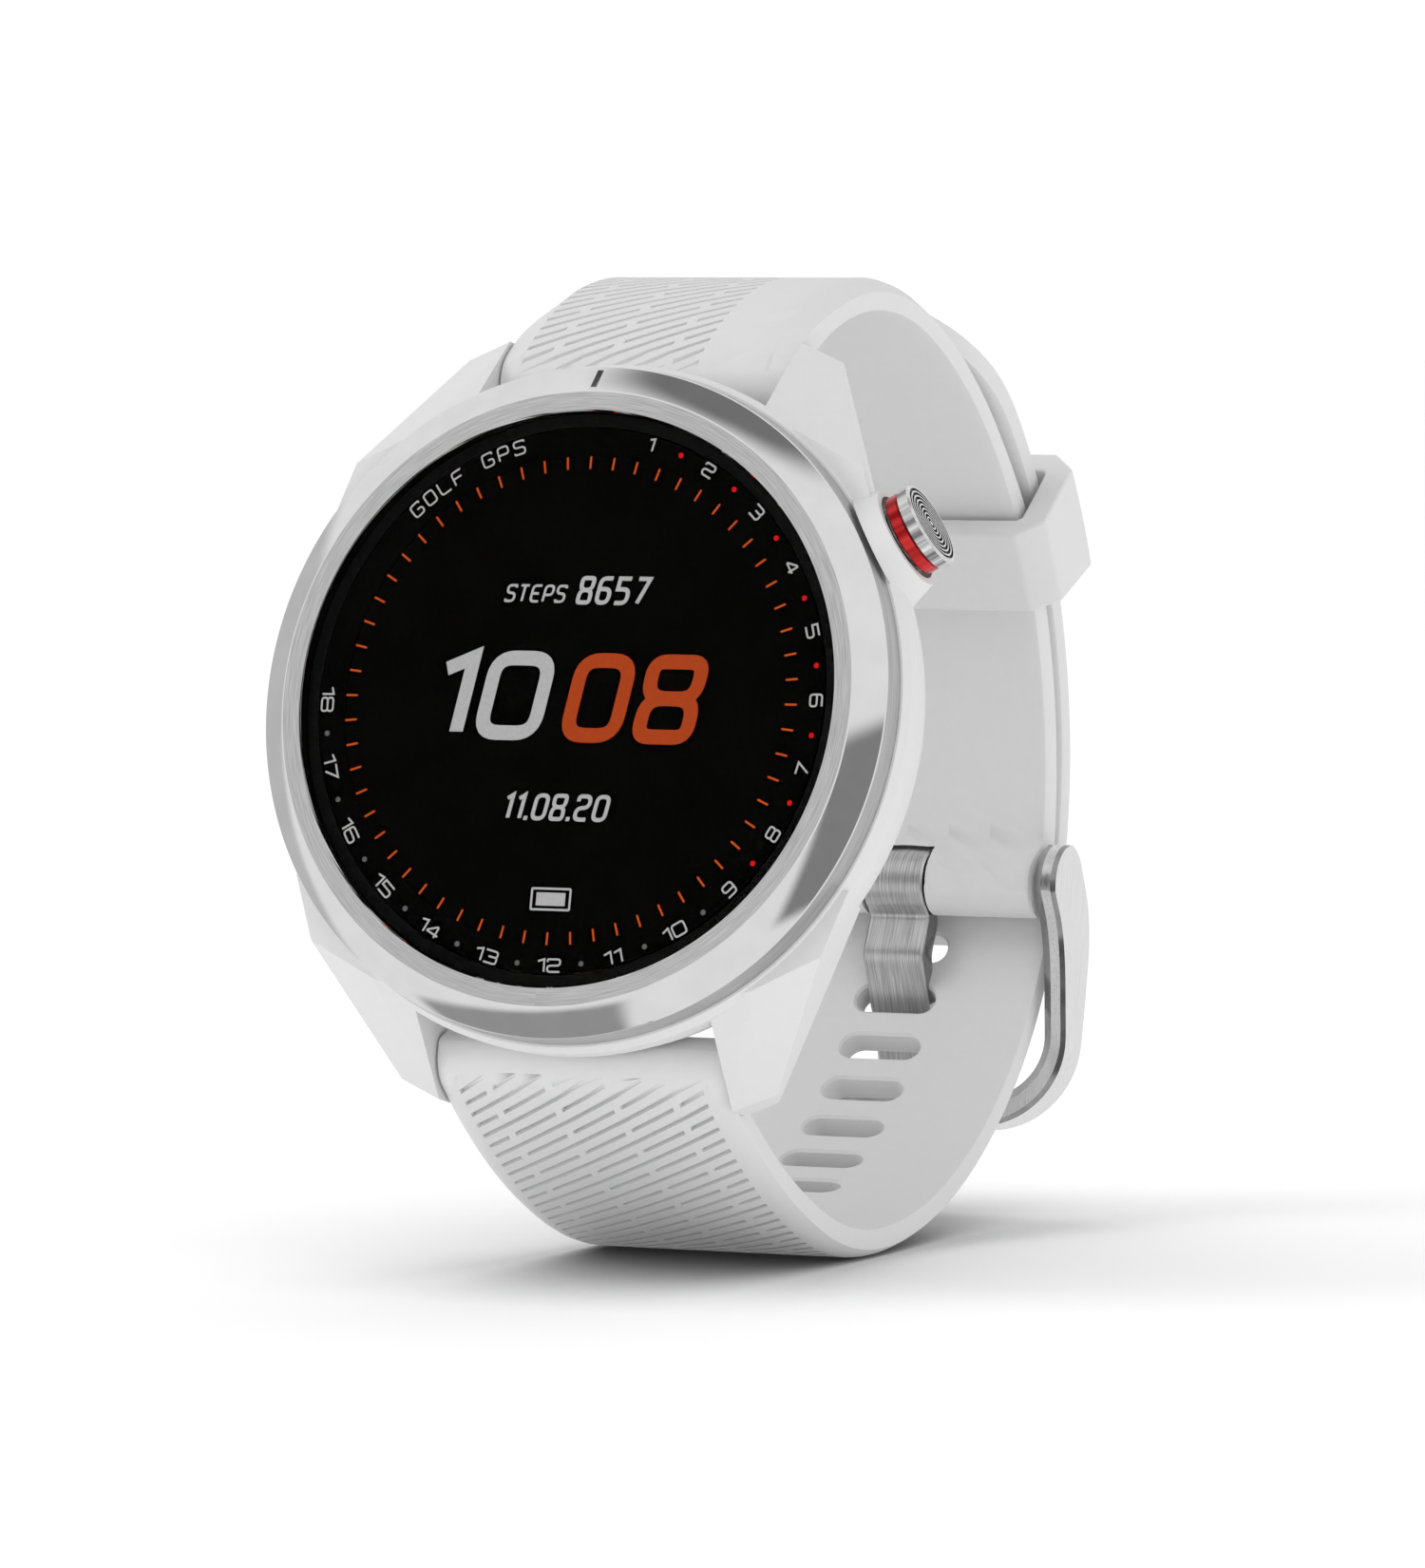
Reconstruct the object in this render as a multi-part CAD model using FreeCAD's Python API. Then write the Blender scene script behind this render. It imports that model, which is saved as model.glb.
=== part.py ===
"""Golf GPS watch on its closed band: every sub-part as its own solid, in millimetres.

The watch is drawn upright in its own frame and leaned back at the end.
In the upright frame X runs to 3 o'clock, Z to 12 o'clock and Y from the dial towards the wrist,
with the dial print at Y = 0.  The written frame has its origin at the centre of the case back's
flat face, and the whole watch leans back by LEAN about X.
"""
import FreeCAD, Part
import math
import os

V = FreeCAD.Vector
X_AXIS = V(1, 0, 0)
Y_AXIS = V(0, 1, 0)
Z_AXIS = V(0, 0, 1)

# ---- driving dimensions ----
LEAN = 12.5                  # how far the upright watch leans back, degrees
HEAD_BACK = 11.04            # case back's flat face, behind the dial print
CASE_R = 21.6                # 43.2 mm head
CASE_TOP = 2.5               # joint between bezel and case
CAVITY_R = 18.4
BACK_SEAT = 9.4              # joint between case and case back
GLASS_FRONT = -0.62
GLASS_BACK = 0.38
GLASS_R = 17.9
DISPLAY_R = 15.2             # 30.4 mm visible display
LUG_GAP = 20.0               # band width between the lugs

STRAP_HALF = 9.85            # half the strap's width
UPPER_THICK = 2.2
LOWER_THICK = 1.9
BAR_Y = 8.79                 # spring bars, behind the dial print
BAR_Z = 21.75                # spring bars, above and below the dial centre
BARREL_R = 2.25              # strap end round each spring bar
LOOP_Y = 25.3                # centre of the upper strap's rear arc
LOOP_Z = -1.6
UPPER_R = 32.277              # outer face of the upper strap's rear arc
CROWN_R = 36.0               # its flatter arc over the top
CROWN_START = 48.0
CROWN_END = 80.0
TAIL_R = 35.0                # outer face of the tail, about the same centre
PIN_ANGLE = -1.9             # buckle pin, seen from the loop centre
PIN_BARREL_R = 2.2
REAR_R = 28.9                # lower strap's bend at the buckle
REAR_TOP = 20.8              # where that bend meets the tail, degrees
REAR_BOTTOM = -35.6          # where it meets the long lower arc
LONG_R = 35.0                # long arc under the loop
LONG_END = -75.0
BELLY_R = 25.5               # tighter arc at the lowest point
BELLY_END = -100.4
TAIL_END = 80.0              # tip of the tail, degrees
TAIL_TAPER = 56.0            # where the tail starts to narrow, degrees

SLOT_LENGTH = 5.7
SLOT_WIDTH = 2.0
SLOT_PITCH = 4.2
SLOT_ANGLE = -24.2           # the slot in use, seen from the rear bend's centre
SLOTS_BELOW = 6
SLOTS_ABOVE = 4

BUTTON_ANGLE = 60.0          # 2 o'clock
BUTTON_Y = 4.9
CAP_R = 2.72
CAP_FACE = 24.4              # distances along the button's axis from the dial centre
CAP_BASE = 23.55
COLLAR_R = 2.64
COLLAR_TOP = 23.5
COLLAR_BASE = 22.72
BOSS_FACE = 22.6
BOSS_R = 3.3
STEM_R = 0.9
STEM_END = 17.7

FRAME_HALF = 11.9
FRAME_INNER_HALF = 10.2
FRAME_BOTTOM = -18.6
FRAME_BAR = 2.0
TONGUE_HALF = 2.15

KEEPER_ANGLE = 41.3
KEEPER_SPAN = 12.0
KEEPER_WALL = 1.8
RUNNING = 0.05               # radial clearance of a running fit
SCREW_CIRCLE = 16.9


# ---- small helpers ----
def turned(points):
    """A solid of revolution about the watch's axis, from (radius, y) corners."""
    corners = [V(r, y, 0) for r, y in points]
    face = Part.Face(Part.makePolygon(corners + [corners[0]]))
    return face.revolve(V(0, 0, 0), Y_AXIS, 360)


def disc(radius, y0, y1, x=0.0, z=0.0):
    return Part.makeCylinder(radius, y1 - y0, V(x, y0, z), Y_AXIS)


def ring(inner, outer, y0, y1):
    return disc(outer, y0, y1).cut(disc(inner, y0 - 1, y1 + 1))


def block(x0, x1, y0, y1, z0, z1):
    return Part.makeBox(x1 - x0, y1 - y0, z1 - z0, V(x0, y0, z0))


def rod(radius, x0, x1, y, z):
    return Part.makeCylinder(radius, x1 - x0, V(x0, y, z), X_AXIS)


def fused(shapes):
    return shapes[0].multiFuse(shapes[1:]).removeSplitter()


def both_sides(shape):
    """The shape and its mirror image across the watch's centre plane."""
    return [shape, shape.mirror(V(0, 0, 0), X_AXIS)]


def polar(centre, radius, angle):
    """A point in the side plane, as (y, z), seen from a centre at an angle in degrees."""
    turn = math.radians(angle)
    return (centre[0] + radius * math.cos(turn), centre[1] + radius * math.sin(turn))


def arc(centre, radius, start, end):
    """An arc in the side plane."""
    corners = [polar(centre, radius, a) for a in (start, (start + end) / 2, end)]
    return Part.Arc(*[V(0, y, z) for y, z in corners]).toShape()


def line(a, b):
    return Part.makeLine(V(0, *a), V(0, *b))


def curve(points):
    """A smooth curve in the side plane through (y, z) points."""
    spline = Part.BSplineCurve()
    spline.interpolate([V(0, y, z) for y, z in points])
    return spline.toShape()


def across(edges, half):
    """A side-plane outline made solid across the watch, from -half to half."""
    face = Part.Face(Part.Wire(Part.__sortEdges__(edges)))
    face.translate(V(-half, 0, 0))
    return face.extrude(V(2 * half, 0, 0))


def coil(wire_r, coil_r, length, turns, origin, direction):
    """A compression spring along a direction."""
    helix = Part.makeHelix(length / turns, length, coil_r)
    profile = Part.Wire(Part.makeCircle(wire_r, V(coil_r, 0, 0), Y_AXIS))
    spring = Part.Wire(helix).makePipeShell([profile], True, True)
    turn = FreeCAD.Rotation(Z_AXIS, direction)
    spring.Placement = FreeCAD.Placement(origin, turn)
    return spring


# ---- places worked out from the dimensions above ----
LOOP = (LOOP_Y, LOOP_Z)
PIN = polar(LOOP, UPPER_R - PIN_BARREL_R, PIN_ANGLE)
REAR = polar(LOOP, TAIL_R - REAR_R, REAR_TOP)


def tangent_centre(centre, radius, angle, new_radius):
    """Centre of an arc that carries on smoothly from another one at an angle."""
    return polar(centre, radius - new_radius, angle)


def closing_arc(centre, radius, angle, bar_z):
    """The arc that carries on from another one and runs on to a spring bar's barrel."""
    start = polar(centre, radius, angle)
    out = polar((0, 0), 1, angle)
    to_start = (start[0] - BAR_Y, start[1] - bar_z)
    square = to_start[0] ** 2 + to_start[1] ** 2
    along = to_start[0] * out[0] + to_start[1] * out[1]
    last_radius = (square - BARREL_R ** 2) / (2 * along - 2 * BARREL_R)
    last = tangent_centre(centre, radius, angle, last_radius)
    end = math.degrees(math.atan2(bar_z - last[1], BAR_Y - last[0]))
    return last, last_radius, angle, end


CROWN = tangent_centre(LOOP, UPPER_R, CROWN_START, CROWN_R)
LONG = tangent_centre(REAR, REAR_R, REAR_BOTTOM, LONG_R)
BELLY = tangent_centre(LONG, LONG_R, LONG_END, BELLY_R)

# each strap's outer face as a chain of arcs: centre, radius, start angle, end angle
UPPER_CHAIN = [(LOOP, UPPER_R, PIN_ANGLE, CROWN_START), (CROWN, CROWN_R, CROWN_START, CROWN_END),
               closing_arc(CROWN, CROWN_R, CROWN_END, BAR_Z)]
LOWER_CHAIN = [(LOOP, TAIL_R, TAIL_END, REAR_TOP), (REAR, REAR_R, REAR_TOP, REAR_BOTTOM),
               (LONG, LONG_R, REAR_BOTTOM, LONG_END), (BELLY, BELLY_R, LONG_END, BELLY_END),
               closing_arc(BELLY, BELLY_R, BELLY_END, -BAR_Z)]
BUTTON_AXIS = V(math.sin(math.radians(BUTTON_ANGLE)), 0, math.cos(math.radians(BUTTON_ANGLE)))


def on_button(distance):
    return V(0, BUTTON_Y, 0) + BUTTON_AXIS * distance


def button_disc(radius, start, end):
    return Part.makeCylinder(radius, end - start, on_button(start), BUTTON_AXIS)


# ---- head ----
def bezel_ring():
    """Brushed ring, polished chamfer and side wall, with the ledge that carries the glass."""
    body = turned([(17.94, -0.46), (18.1, -0.56), (19.2, -0.56), (20.98, 0.77), (21.1, CASE_TOP),
                   (17.05, CASE_TOP), (17.05, 0.62), (17.94, 0.62)])
    slope = math.degrees(math.atan2(0.77 + 0.56, 20.98 - 19.2))
    mark = block(-0.22, 0.22, -0.12, 0.5, 0.45, 1.85)
    mark.rotate(V(0, 0, 0), X_AXIS, slope)
    mark.translate(V(0, -0.56, 19.2))
    return body.cut(mark)


def lens():
    return turned([(0, GLASS_FRONT), (17.48, GLASS_FRONT), (GLASS_R, GLASS_FRONT + 0.2),
                   (GLASS_R, GLASS_BACK), (0, GLASS_BACK)])


def lens_gasket():
    return ring(17.12, 17.86, GLASS_BACK, 0.62)


def dial_mask():
    return ring(DISPLAY_R + 0.1, 17.0, GLASS_BACK, GLASS_BACK + 0.1)


def touch_layer():
    return disc(16.95, 0.5, 0.6)


def display_panel():
    panel = disc(16.6, 0.62, 1.9)
    return panel.cut(block(-20, 20, 0.5, 2, -20, -15.9))


def button_side(shape):
    """Turns a shape drawn along +Z onto the button's axis."""
    shape.rotate(V(0, 0, 0), Y_AXIS, BUTTON_ANGLE)
    shape.translate(V(0, BUTTON_Y, 0))
    return shape


def display_frame():
    """The tray under the display, with a window for the display's flex."""
    posts = [disc(1.2, 3.35, 4.5, x, z) for x, z in BOARD_SCREWS]
    tray = fused([disc(17.9, 2.55, 3.35), ring(15.4, 16.95, 1.92, 2.55)] + posts)
    for x, z in BOARD_SCREWS:
        tray = tray.cut(disc(0.6, 2.8, 6, x, z))
    return tray.cut(block(-4.2, 4.2, 1.5, 4, -19, -14.6))


def display_flex():
    """A flat flex that leaves the display at 6 o'clock and bends back to the board."""
    path = [block(-3, 3, 1.92, 2.07, -16.6, -15.0), block(-3, 3, 1.92, 4.45, -16.75, -16.6),
            block(-3, 3, 4.3, 4.45, -16.6, -15.6)]
    return fused(path)


def gps_antenna():
    """An open antenna loop round the rim, with its gap over the button."""
    loop = ring(17.4, 18.25, 3.4, 4.2)
    return loop.cut(block(4, 20, 3, 5, 2, 20))


def corner_points(radius, angles):
    return [(radius * math.sin(math.radians(a)), radius * math.cos(math.radians(a))) for a in angles]


BACK_SCREWS = corner_points(SCREW_CIRCLE, (45, 135, 225, 315))
BOARD_SCREWS = corner_points(15.2, (30, 155, 265))


def main_board():
    board = disc(17.0, 4.5, 5.3)
    for x, z in BACK_SCREWS:
        board = board.cut(disc(2.2, 4, 6, x, z))
    for x, z in BOARD_SCREWS:
        board = board.cut(disc(0.62, 4, 6, x, z))
    notch = button_side(fused([block(-2.2, 2.2, -2, 2, 13.4, 20), block(-5, 2.2, -2, 2, 15.2, 20)]))
    return board.cut(block(-3.8, 3.8, 4, 6, -18, -16.4)).cut(notch)


def board_components():
    """Receiver, processor, memory, power and flash chips, and the flex connector."""
    chips = [(-10, -4, 3.5, 4.5, 3, 9), (1, 9, 3.6, 4.5, -2, 6), (-9, -4, 3.7, 4.5, -8, -3),
             (-3.5, 3.5, 3.6, 4.28, -15.4, -13.8), (9.3, 13.3, 5.3, 6.3, -1.3, 2.7),
             (2, 6, 3.8, 4.5, -10, -6), (-2.5, -0.5, 3.7, 4.5, 8, 12)]
    return Part.makeCompound([block(*size) for size in chips])


def screw(x, z, head_r, head_y0, head_y1, shank_r, tip_y):
    """A screw whose head faces the wrist."""
    body = fused([disc(head_r, head_y0, head_y1, x, z), disc(shank_r, tip_y, head_y0, x, z)])
    drive = fused([block(x - 0.65, x + 0.65, head_y1 - 0.3, head_y1 + 1, z - 0.16, z + 0.16),
                   block(x - 0.16, x + 0.16, head_y1 - 0.3, head_y1 + 1, z - 0.65, z + 0.65)])
    return body.cut(drive)


def board_screws():
    return Part.makeCompound([screw(x, z, 1.1, 5.3, 5.85, 0.6, 2.9) for x, z in BOARD_SCREWS])


def battery():
    cell = block(-13, 7.5, 5.95, 9.1, -10, 9.8)
    edges = [e for e in cell.Edges if abs(e.tangentAt(e.FirstParameter).y) > 0.9]
    return cell.makeFillet(1.5, edges)


def vibration_motor():
    return disc(4.0, 5.4, 8.1, 12.2, -5.6)


def button_switch():
    """A side-push switch in the board's notch, facing the button's stem."""
    body = block(-2.0, 2.0, -1.3, 1.3, 13.6, 16.2)
    plunger = Part.makeCylinder(0.8, 0.7, V(0, 0, 16.2), Z_AXIS)
    return button_side(fused([body, plunger]))


def half_space(normal, offset):
    """A large box that fills the side of a plane that the normal points to."""
    normal = V(*normal).normalize()
    box = Part.makeBox(80, 80, 80, V(-40, -40, 0))
    box.Placement = FreeCAD.Placement(normal * offset, FreeCAD.Rotation(Z_AXIS, normal))
    return box


def lug():
    """The faceted lug at 1 o'clock; the other three are its mirror images."""
    horn = block(LUG_GAP / 2, 20, CASE_TOP + 0.15, 10.1, 11.0, 26)
    facets = [((1, -2, 2), 14.06), ((0.217, -0.72, 0.655), 12.25), ((0.906, 0.277, 0.32), 21.2),
              ((0.394, 0, 0.919), 26.1), ((0.25, 0.9, 0.36), 20.38)]
    for normal, distance in facets:
        horn = horn.cut(half_space(normal, distance))
    hole = rod(0.5, LUG_GAP / 2 - 1, 11.3, BAR_Y, BAR_Z)
    return horn.cut(hole)


def button_boss():
    """The cone round the button; its front wraps round the bezel with a small gap."""
    cone = Part.makeCone(4.3, BOSS_R, BOSS_FACE - 19.5, on_button(19.5), BUTTON_AXIS)
    return cone.common(block(0, 30, -1, 9.2, 0, 30)).cut(disc(21.3, -2, CASE_TOP + 0.1))


def case_body():
    """White shell: turned body, four lugs and the button's boss, hollow inside."""
    shell = turned([(0, CASE_TOP), (21.25, CASE_TOP), (CASE_R, 3.1), (CASE_R, 4.3), (21.2, 6.0),
                    (20.5, 8.0), (19.75, BACK_SEAT), (0, BACK_SEAT)])
    upper = both_sides(lug())
    lower = [horn.mirror(V(0, 0, 0), Z_AXIS) for horn in upper]
    shell = fused([shell, button_boss()] + upper + lower)
    posts = [disc(1.8, 5.4, BACK_SEAT, x, z) for x, z in BACK_SCREWS]
    for z in (BAR_Z, -BAR_Z):
        shell = shell.cut(rod(BARREL_R + 0.3, -LUG_GAP / 2, LUG_GAP / 2, BAR_Y, z))
    cavity = disc(CAVITY_R, 0, 12)
    for post in posts:
        cavity = cavity.cut(post)
    shell = shell.cut(cavity).cut(disc(19.6, BACK_SEAT, 12))
    for x, z in BACK_SCREWS:
        shell = shell.cut(disc(0.7, 6.2, 10, x, z))
    shell = shell.cut(button_disc(2.85, 21.9, 30))
    return shell.cut(button_disc(1.6, 15, 22))


def case_gasket():
    return ring(18.45, 18.85, BACK_SEAT, BACK_SEAT + 0.4)


CONTACT_Z = -6.0
CONTACT_PITCH = 2.2


def contact_places():
    return [(CONTACT_PITCH * (i - 1.5), CONTACT_Z) for i in range(4)]


def case_back():
    """Back cover with a gasket groove, four countersunk screws and the charging pocket."""
    cover = turned([(0, BACK_SEAT), (19.2, BACK_SEAT), (19.2, 9.9), (18.0, HEAD_BACK), (0, HEAD_BACK)])
    cover = cover.cut(ring(18.4, 18.9, BACK_SEAT - 1, BACK_SEAT + 0.42))
    for x, z in BACK_SCREWS:
        cover = cover.cut(disc(0.8, 9, 12, x, z)).cut(disc(1.45, 10.3, 12, x, z))
    pocket = block(-5.4, 5.4, HEAD_BACK - 0.6, 12, CONTACT_Z - 2.2, CONTACT_Z + 2.2)
    seat = block(-4.6, 4.6, 9, 12, CONTACT_Z - 1.4, CONTACT_Z + 1.4)
    return cover.cut(pocket).cut(seat)


def contact_carrier():
    carrier = block(-4.55, 4.55, 9.15, HEAD_BACK - 0.6, CONTACT_Z - 1.35, CONTACT_Z + 1.35)
    for x, z in contact_places():
        carrier = carrier.cut(disc(0.55, 8, 12, x, z))
    return carrier


def charging_pins():
    pins = [disc(0.55, 9.15, HEAD_BACK - 0.45, x, z) for x, z in contact_places()]
    return Part.makeCompound(pins)


def back_screws():
    return Part.makeCompound([screw(x, z, 1.35, 10.3, 10.9, 0.7, 6.4) for x, z in BACK_SCREWS])


# ---- button ----
def button_cap():
    """Polished cap with concentric grooves turned into its face."""
    grooves = 8
    step = (CAP_R - 0.35) / grooves
    rim = [(0, CAP_BASE), (CAP_R, CAP_BASE), (CAP_R, CAP_FACE - 0.08), (CAP_R - 0.1, CAP_FACE)]
    for i in range(grooves):
        edge = CAP_R - 0.28 - i * step
        rim += [(edge, CAP_FACE), (edge - step / 2, CAP_FACE - 0.12)]
    rim += [(0, CAP_FACE - 0.06)]
    cap = turned(rim)
    return on_button_axis(cap)


def on_button_axis(shape):
    """Turns a shape made about the watch's axis onto the button's axis."""
    shape.Placement = FreeCAD.Placement(V(0, BUTTON_Y, 0), FreeCAD.Rotation(Y_AXIS, BUTTON_AXIS))
    return shape


def button_collar():
    collar = button_disc(COLLAR_R, COLLAR_BASE, COLLAR_TOP)
    return collar.cut(button_disc(STEM_R, 20, 25))


def button_stem():
    parts = [button_disc(STEM_R, STEM_END, CAP_BASE), button_disc(2.3, COLLAR_TOP, CAP_BASE)]
    groove = button_disc(2, 17.95, 18.2).cut(button_disc(0.6, 17, 19))
    return fused(parts).cut(groove)


def button_clip():
    clip = button_disc(1.6, 17.97, 18.18).cut(button_disc(0.6, 17, 19))
    return clip.cut(button_side(block(-0.45, 0.45, 0, 3, 17, 19)))


def button_sleeve():
    sleeve = button_disc(1.6, 18.45, 21.9).cut(button_disc(STEM_R + RUNNING, 15, 25))
    return sleeve.cut(button_disc(1.3, 19.4, 20.2))


def button_oring():
    seal = button_disc(1.3, 19.45, 20.15)
    return seal.cut(button_disc(STEM_R + RUNNING / 2, 15, 25))


def button_spring():
    return coil(0.13, 1.9, 0.5, 2, on_button(22.05), BUTTON_AXIS)


# ---- band ----
def barrel(y, z):
    return rod(BARREL_R, -STRAP_HALF, STRAP_HALF, y, z)


def release_slot(z):
    """The window that a quick-release lever slides in, on the wrist side of the barrel."""
    return block(4.3, 7.5, BAR_Y, BAR_Y + 3, z - 0.75, z + 0.75)


def strap_outline(chain, thick):
    """The side outline between a chain of arcs and the same chain moved in by the thickness."""
    edges = []
    for centre, radius, start, end in chain:
        edges += [arc(centre, radius, start, end), arc(centre, radius - thick, start, end)]
    for centre, radius, angle in ((*chain[0][:2], chain[0][2]), (*chain[-1][:2], chain[-1][3])):
        edges.append(line(polar(centre, radius - thick, angle), polar(centre, radius, angle)))
    return edges


def upper_strap():
    """12 o'clock strap, between the spring bar's barrel and the buckle pin's barrel."""
    end = rod(PIN_BARREL_R, -STRAP_HALF, STRAP_HALF, *PIN)
    body = across(strap_outline(UPPER_CHAIN, UPPER_THICK), STRAP_HALF)
    strap = fused([body, barrel(BAR_Y, BAR_Z), end])
    strap = strap.cut(rod(0.9, -20, 20, BAR_Y, BAR_Z)).cut(rod(0.9, -20, 20, *PIN))
    strap = strap.cut(rod(PIN_BARREL_R + 0.25, -TONGUE_HALF - 0.2, TONGUE_HALF + 0.2, *PIN))
    return strap.cut(release_slot(BAR_Z))


def radial_tool(shape, centre, angle):
    """Turns a tool drawn along +Y (outwards), with Z along the strap, to a place on an arc."""
    shape.rotate(V(0, 0, 0), X_AXIS, angle)
    shape.translate(V(0, centre[0], centre[1]))
    return shape


def slot_tool():
    """A stadium-shaped punch along +Y."""
    reach = SLOT_LENGTH / 2 - SLOT_WIDTH / 2
    middle = block(-reach, reach, 20, 40, -SLOT_WIDTH / 2, SLOT_WIDTH / 2)
    ends = [disc(SLOT_WIDTH / 2, 20, 40, x, 0) for x in (-reach, reach)]
    return fused([middle] + ends)


def slot_place(step):
    """Arc centre and angle of a slot, counted along the strap from the slot in use."""
    turn = SLOT_ANGLE + math.degrees(step * SLOT_PITCH / (REAR_R - LOWER_THICK / 2))
    if turn > REAR_TOP:
        beyond = math.radians(turn - REAR_TOP) * (REAR_R - LOWER_THICK / 2)
        return LOOP, REAR_TOP + math.degrees(beyond / (TAIL_R - LOWER_THICK / 2))
    if turn < REAR_BOTTOM:
        beyond = math.radians(turn - REAR_BOTTOM) * (REAR_R - LOWER_THICK / 2)
        return LONG, REAR_BOTTOM + math.degrees(beyond / (LONG_R - LOWER_THICK / 2))
    return REAR, turn


def tail_trim():
    """What is cut away beside the tail's rounded tip."""
    middle = (TAIL_END + TAIL_TAPER) / 2
    reach = math.radians(TAIL_END - TAIL_TAPER) / 2 * TAIL_R
    start = V(STRAP_HALF, 20, -reach)
    bulge = V(STRAP_HALF * 0.78, 20, reach * 0.35)
    tip = V(0, 20, reach - 0.5)
    side = Part.Arc(start, bulge, tip).toShape()
    corner = [tip, V(0, 20, reach + 5), V(STRAP_HALF + 3, 20, reach + 5), V(STRAP_HALF + 3, 20, -reach), start]
    tool = Part.Face(Part.Wire(Part.__sortEdges__([side] + Part.makePolygon(corner).Edges)))
    tool = radial_tool(tool.extrude(V(0, 20, 0)), LOOP, middle)
    return both_sides(tool)


def lower_strap():
    """6 o'clock strap with its adjustment slots, passing outside the buckle pin to the tail."""
    body = across(strap_outline(LOWER_CHAIN, LOWER_THICK), STRAP_HALF)
    strap = fused([body, barrel(BAR_Y, -BAR_Z)])
    for tool in tail_trim():
        strap = strap.cut(tool)
    for step in range(-SLOTS_BELOW, SLOTS_ABOVE + 1):
        strap = strap.cut(radial_tool(slot_tool(), *slot_place(step)))
    strap = strap.cut(across(tongue_outline(0.35, 0.55), TONGUE_HALF + 0.3))
    strap = strap.cut(rod(0.9, -20, 20, BAR_Y, -BAR_Z))
    return strap.cut(release_slot(-BAR_Z))


TUBE_HALF = 8.6


def bar_tube(z):
    """Spring bar tube, open at its lever end, with a window for the lever."""
    tube = rod(0.9, -TUBE_HALF, TUBE_HALF, BAR_Y, z).cut(rod(0.62, -7.6, 20, BAR_Y, z))
    return tube.cut(block(4.6, 7.2, BAR_Y, BAR_Y + 2, z - 0.45, z + 0.45))


def bar_tip(z):
    """The fixed tip, which sits in the left lug."""
    return rod(0.45, -10.9, -TUBE_HALF, BAR_Y, z)


def bar_lever(z):
    """The sliding tip with its quick-release lever."""
    shaft = fused([rod(0.45, 5.4, 10.9, BAR_Y, z), rod(0.57, 5.4, 8.3, BAR_Y, z)])
    knob = Part.makeCylinder(0.38, 2.9, V(6.6, BAR_Y, z), Y_AXIS)
    button = Part.makeCylinder(0.62, 0.7, V(6.6, BAR_Y + 2.4, z), Y_AXIS)
    return fused([shaft, knob, button])


def bar_spring(z):
    return coil(0.1, 0.42, 12.5, 14, V(-7.4, BAR_Y, z), X_AXIS)


# ---- buckle and keeper ----
def buckle_pin():
    return rod(0.9, -11.3, 11.3, *PIN)


def frame_side():
    """Side outline of the buckle frame: round at the pin, then swept out past the strap."""
    reach = 2.75
    top_start = polar(PIN, reach, 42)
    top_end = polar(PIN, reach, 196)
    front = curve([top_end, (54.35, -5.3), (55.4, -7.5), (56.25, -10.6), (56.9, -13.8), (57.2, FRAME_BOTTOM - 1)])
    rear = curve([top_start, (59.2, -3.2), (60.05, -5.7), (60.2, -8.5), (60.15, -12.5), (59.9, FRAME_BOTTOM - 1)])
    return [arc(PIN, reach, 42, 196), front, rear, line((57.2, FRAME_BOTTOM - 1), (59.9, FRAME_BOTTOM - 1))]


def rounded_slab(half, bottom, radius):
    """A slab along Y, open upwards, whose lower corners are round."""
    slab = block(-half, half, 48, 64, bottom, 6)
    low = [e for e in slab.Edges if abs(e.CenterOfMass.z - bottom) < 0.01 and abs(e.CenterOfMass.x) > 1]
    return slab.makeFillet(radius, low)


def buckle_frame():
    """The U-shaped frame: two arms on the pin and the far bar outside the strap."""
    sides = across(frame_side(), FRAME_HALF)
    plan = rounded_slab(FRAME_HALF, FRAME_BOTTOM, 6.0)
    frame = sides.common(plan).cut(rounded_slab(FRAME_INNER_HALF, FRAME_BOTTOM + FRAME_BAR, 4.6))
    frame = frame.cut(rod(0.9 + RUNNING, -11.35, 11.35, *PIN))
    rest = block(-TONGUE_HALF - 0.3, TONGUE_HALF + 0.3, 59.2, 64, FRAME_BOTTOM - 1, -14)
    return frame.cut(rest)


def tongue_outline(front_gap=0.0, back_gap=0.0):
    """Side outline of the tongue's blade, grown by a clearance on each face."""
    front = [(55.0, -4.4), (54.75, -6.2), (54.45, -7.7), (55.3, -9.2), (56.35, -10.75), (57.6, -12.6),
             (59.15, -15.6), (59.3, -17.7)]
    back = [(57.2, -3.8), (56.6, -6.2), (56.3, -7.5), (56.9, -8.8), (58.0, -10.4), (59.2, -12.3),
            (60.35, -15.2), (60.45, -17.7)]
    front = [(y - front_gap * 0.84, z - front_gap * 0.54) for y, z in front]
    back = [(y + back_gap * 0.84, z + back_gap * 0.54) for y, z in back]
    return [curve(front), curve(back), line(front[0], back[0]), line(front[-1], back[-1])]


def buckle_tongue():
    """Tongue rolled round the pin, waved, through the slot in use and onto the far bar."""
    roll = rod(PIN_BARREL_R, -TONGUE_HALF, TONGUE_HALF, *PIN)
    tongue = fused([roll, across(tongue_outline(), TONGUE_HALF)])
    return tongue.cut(rod(0.9 + RUNNING, -5, 5, *PIN))


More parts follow.
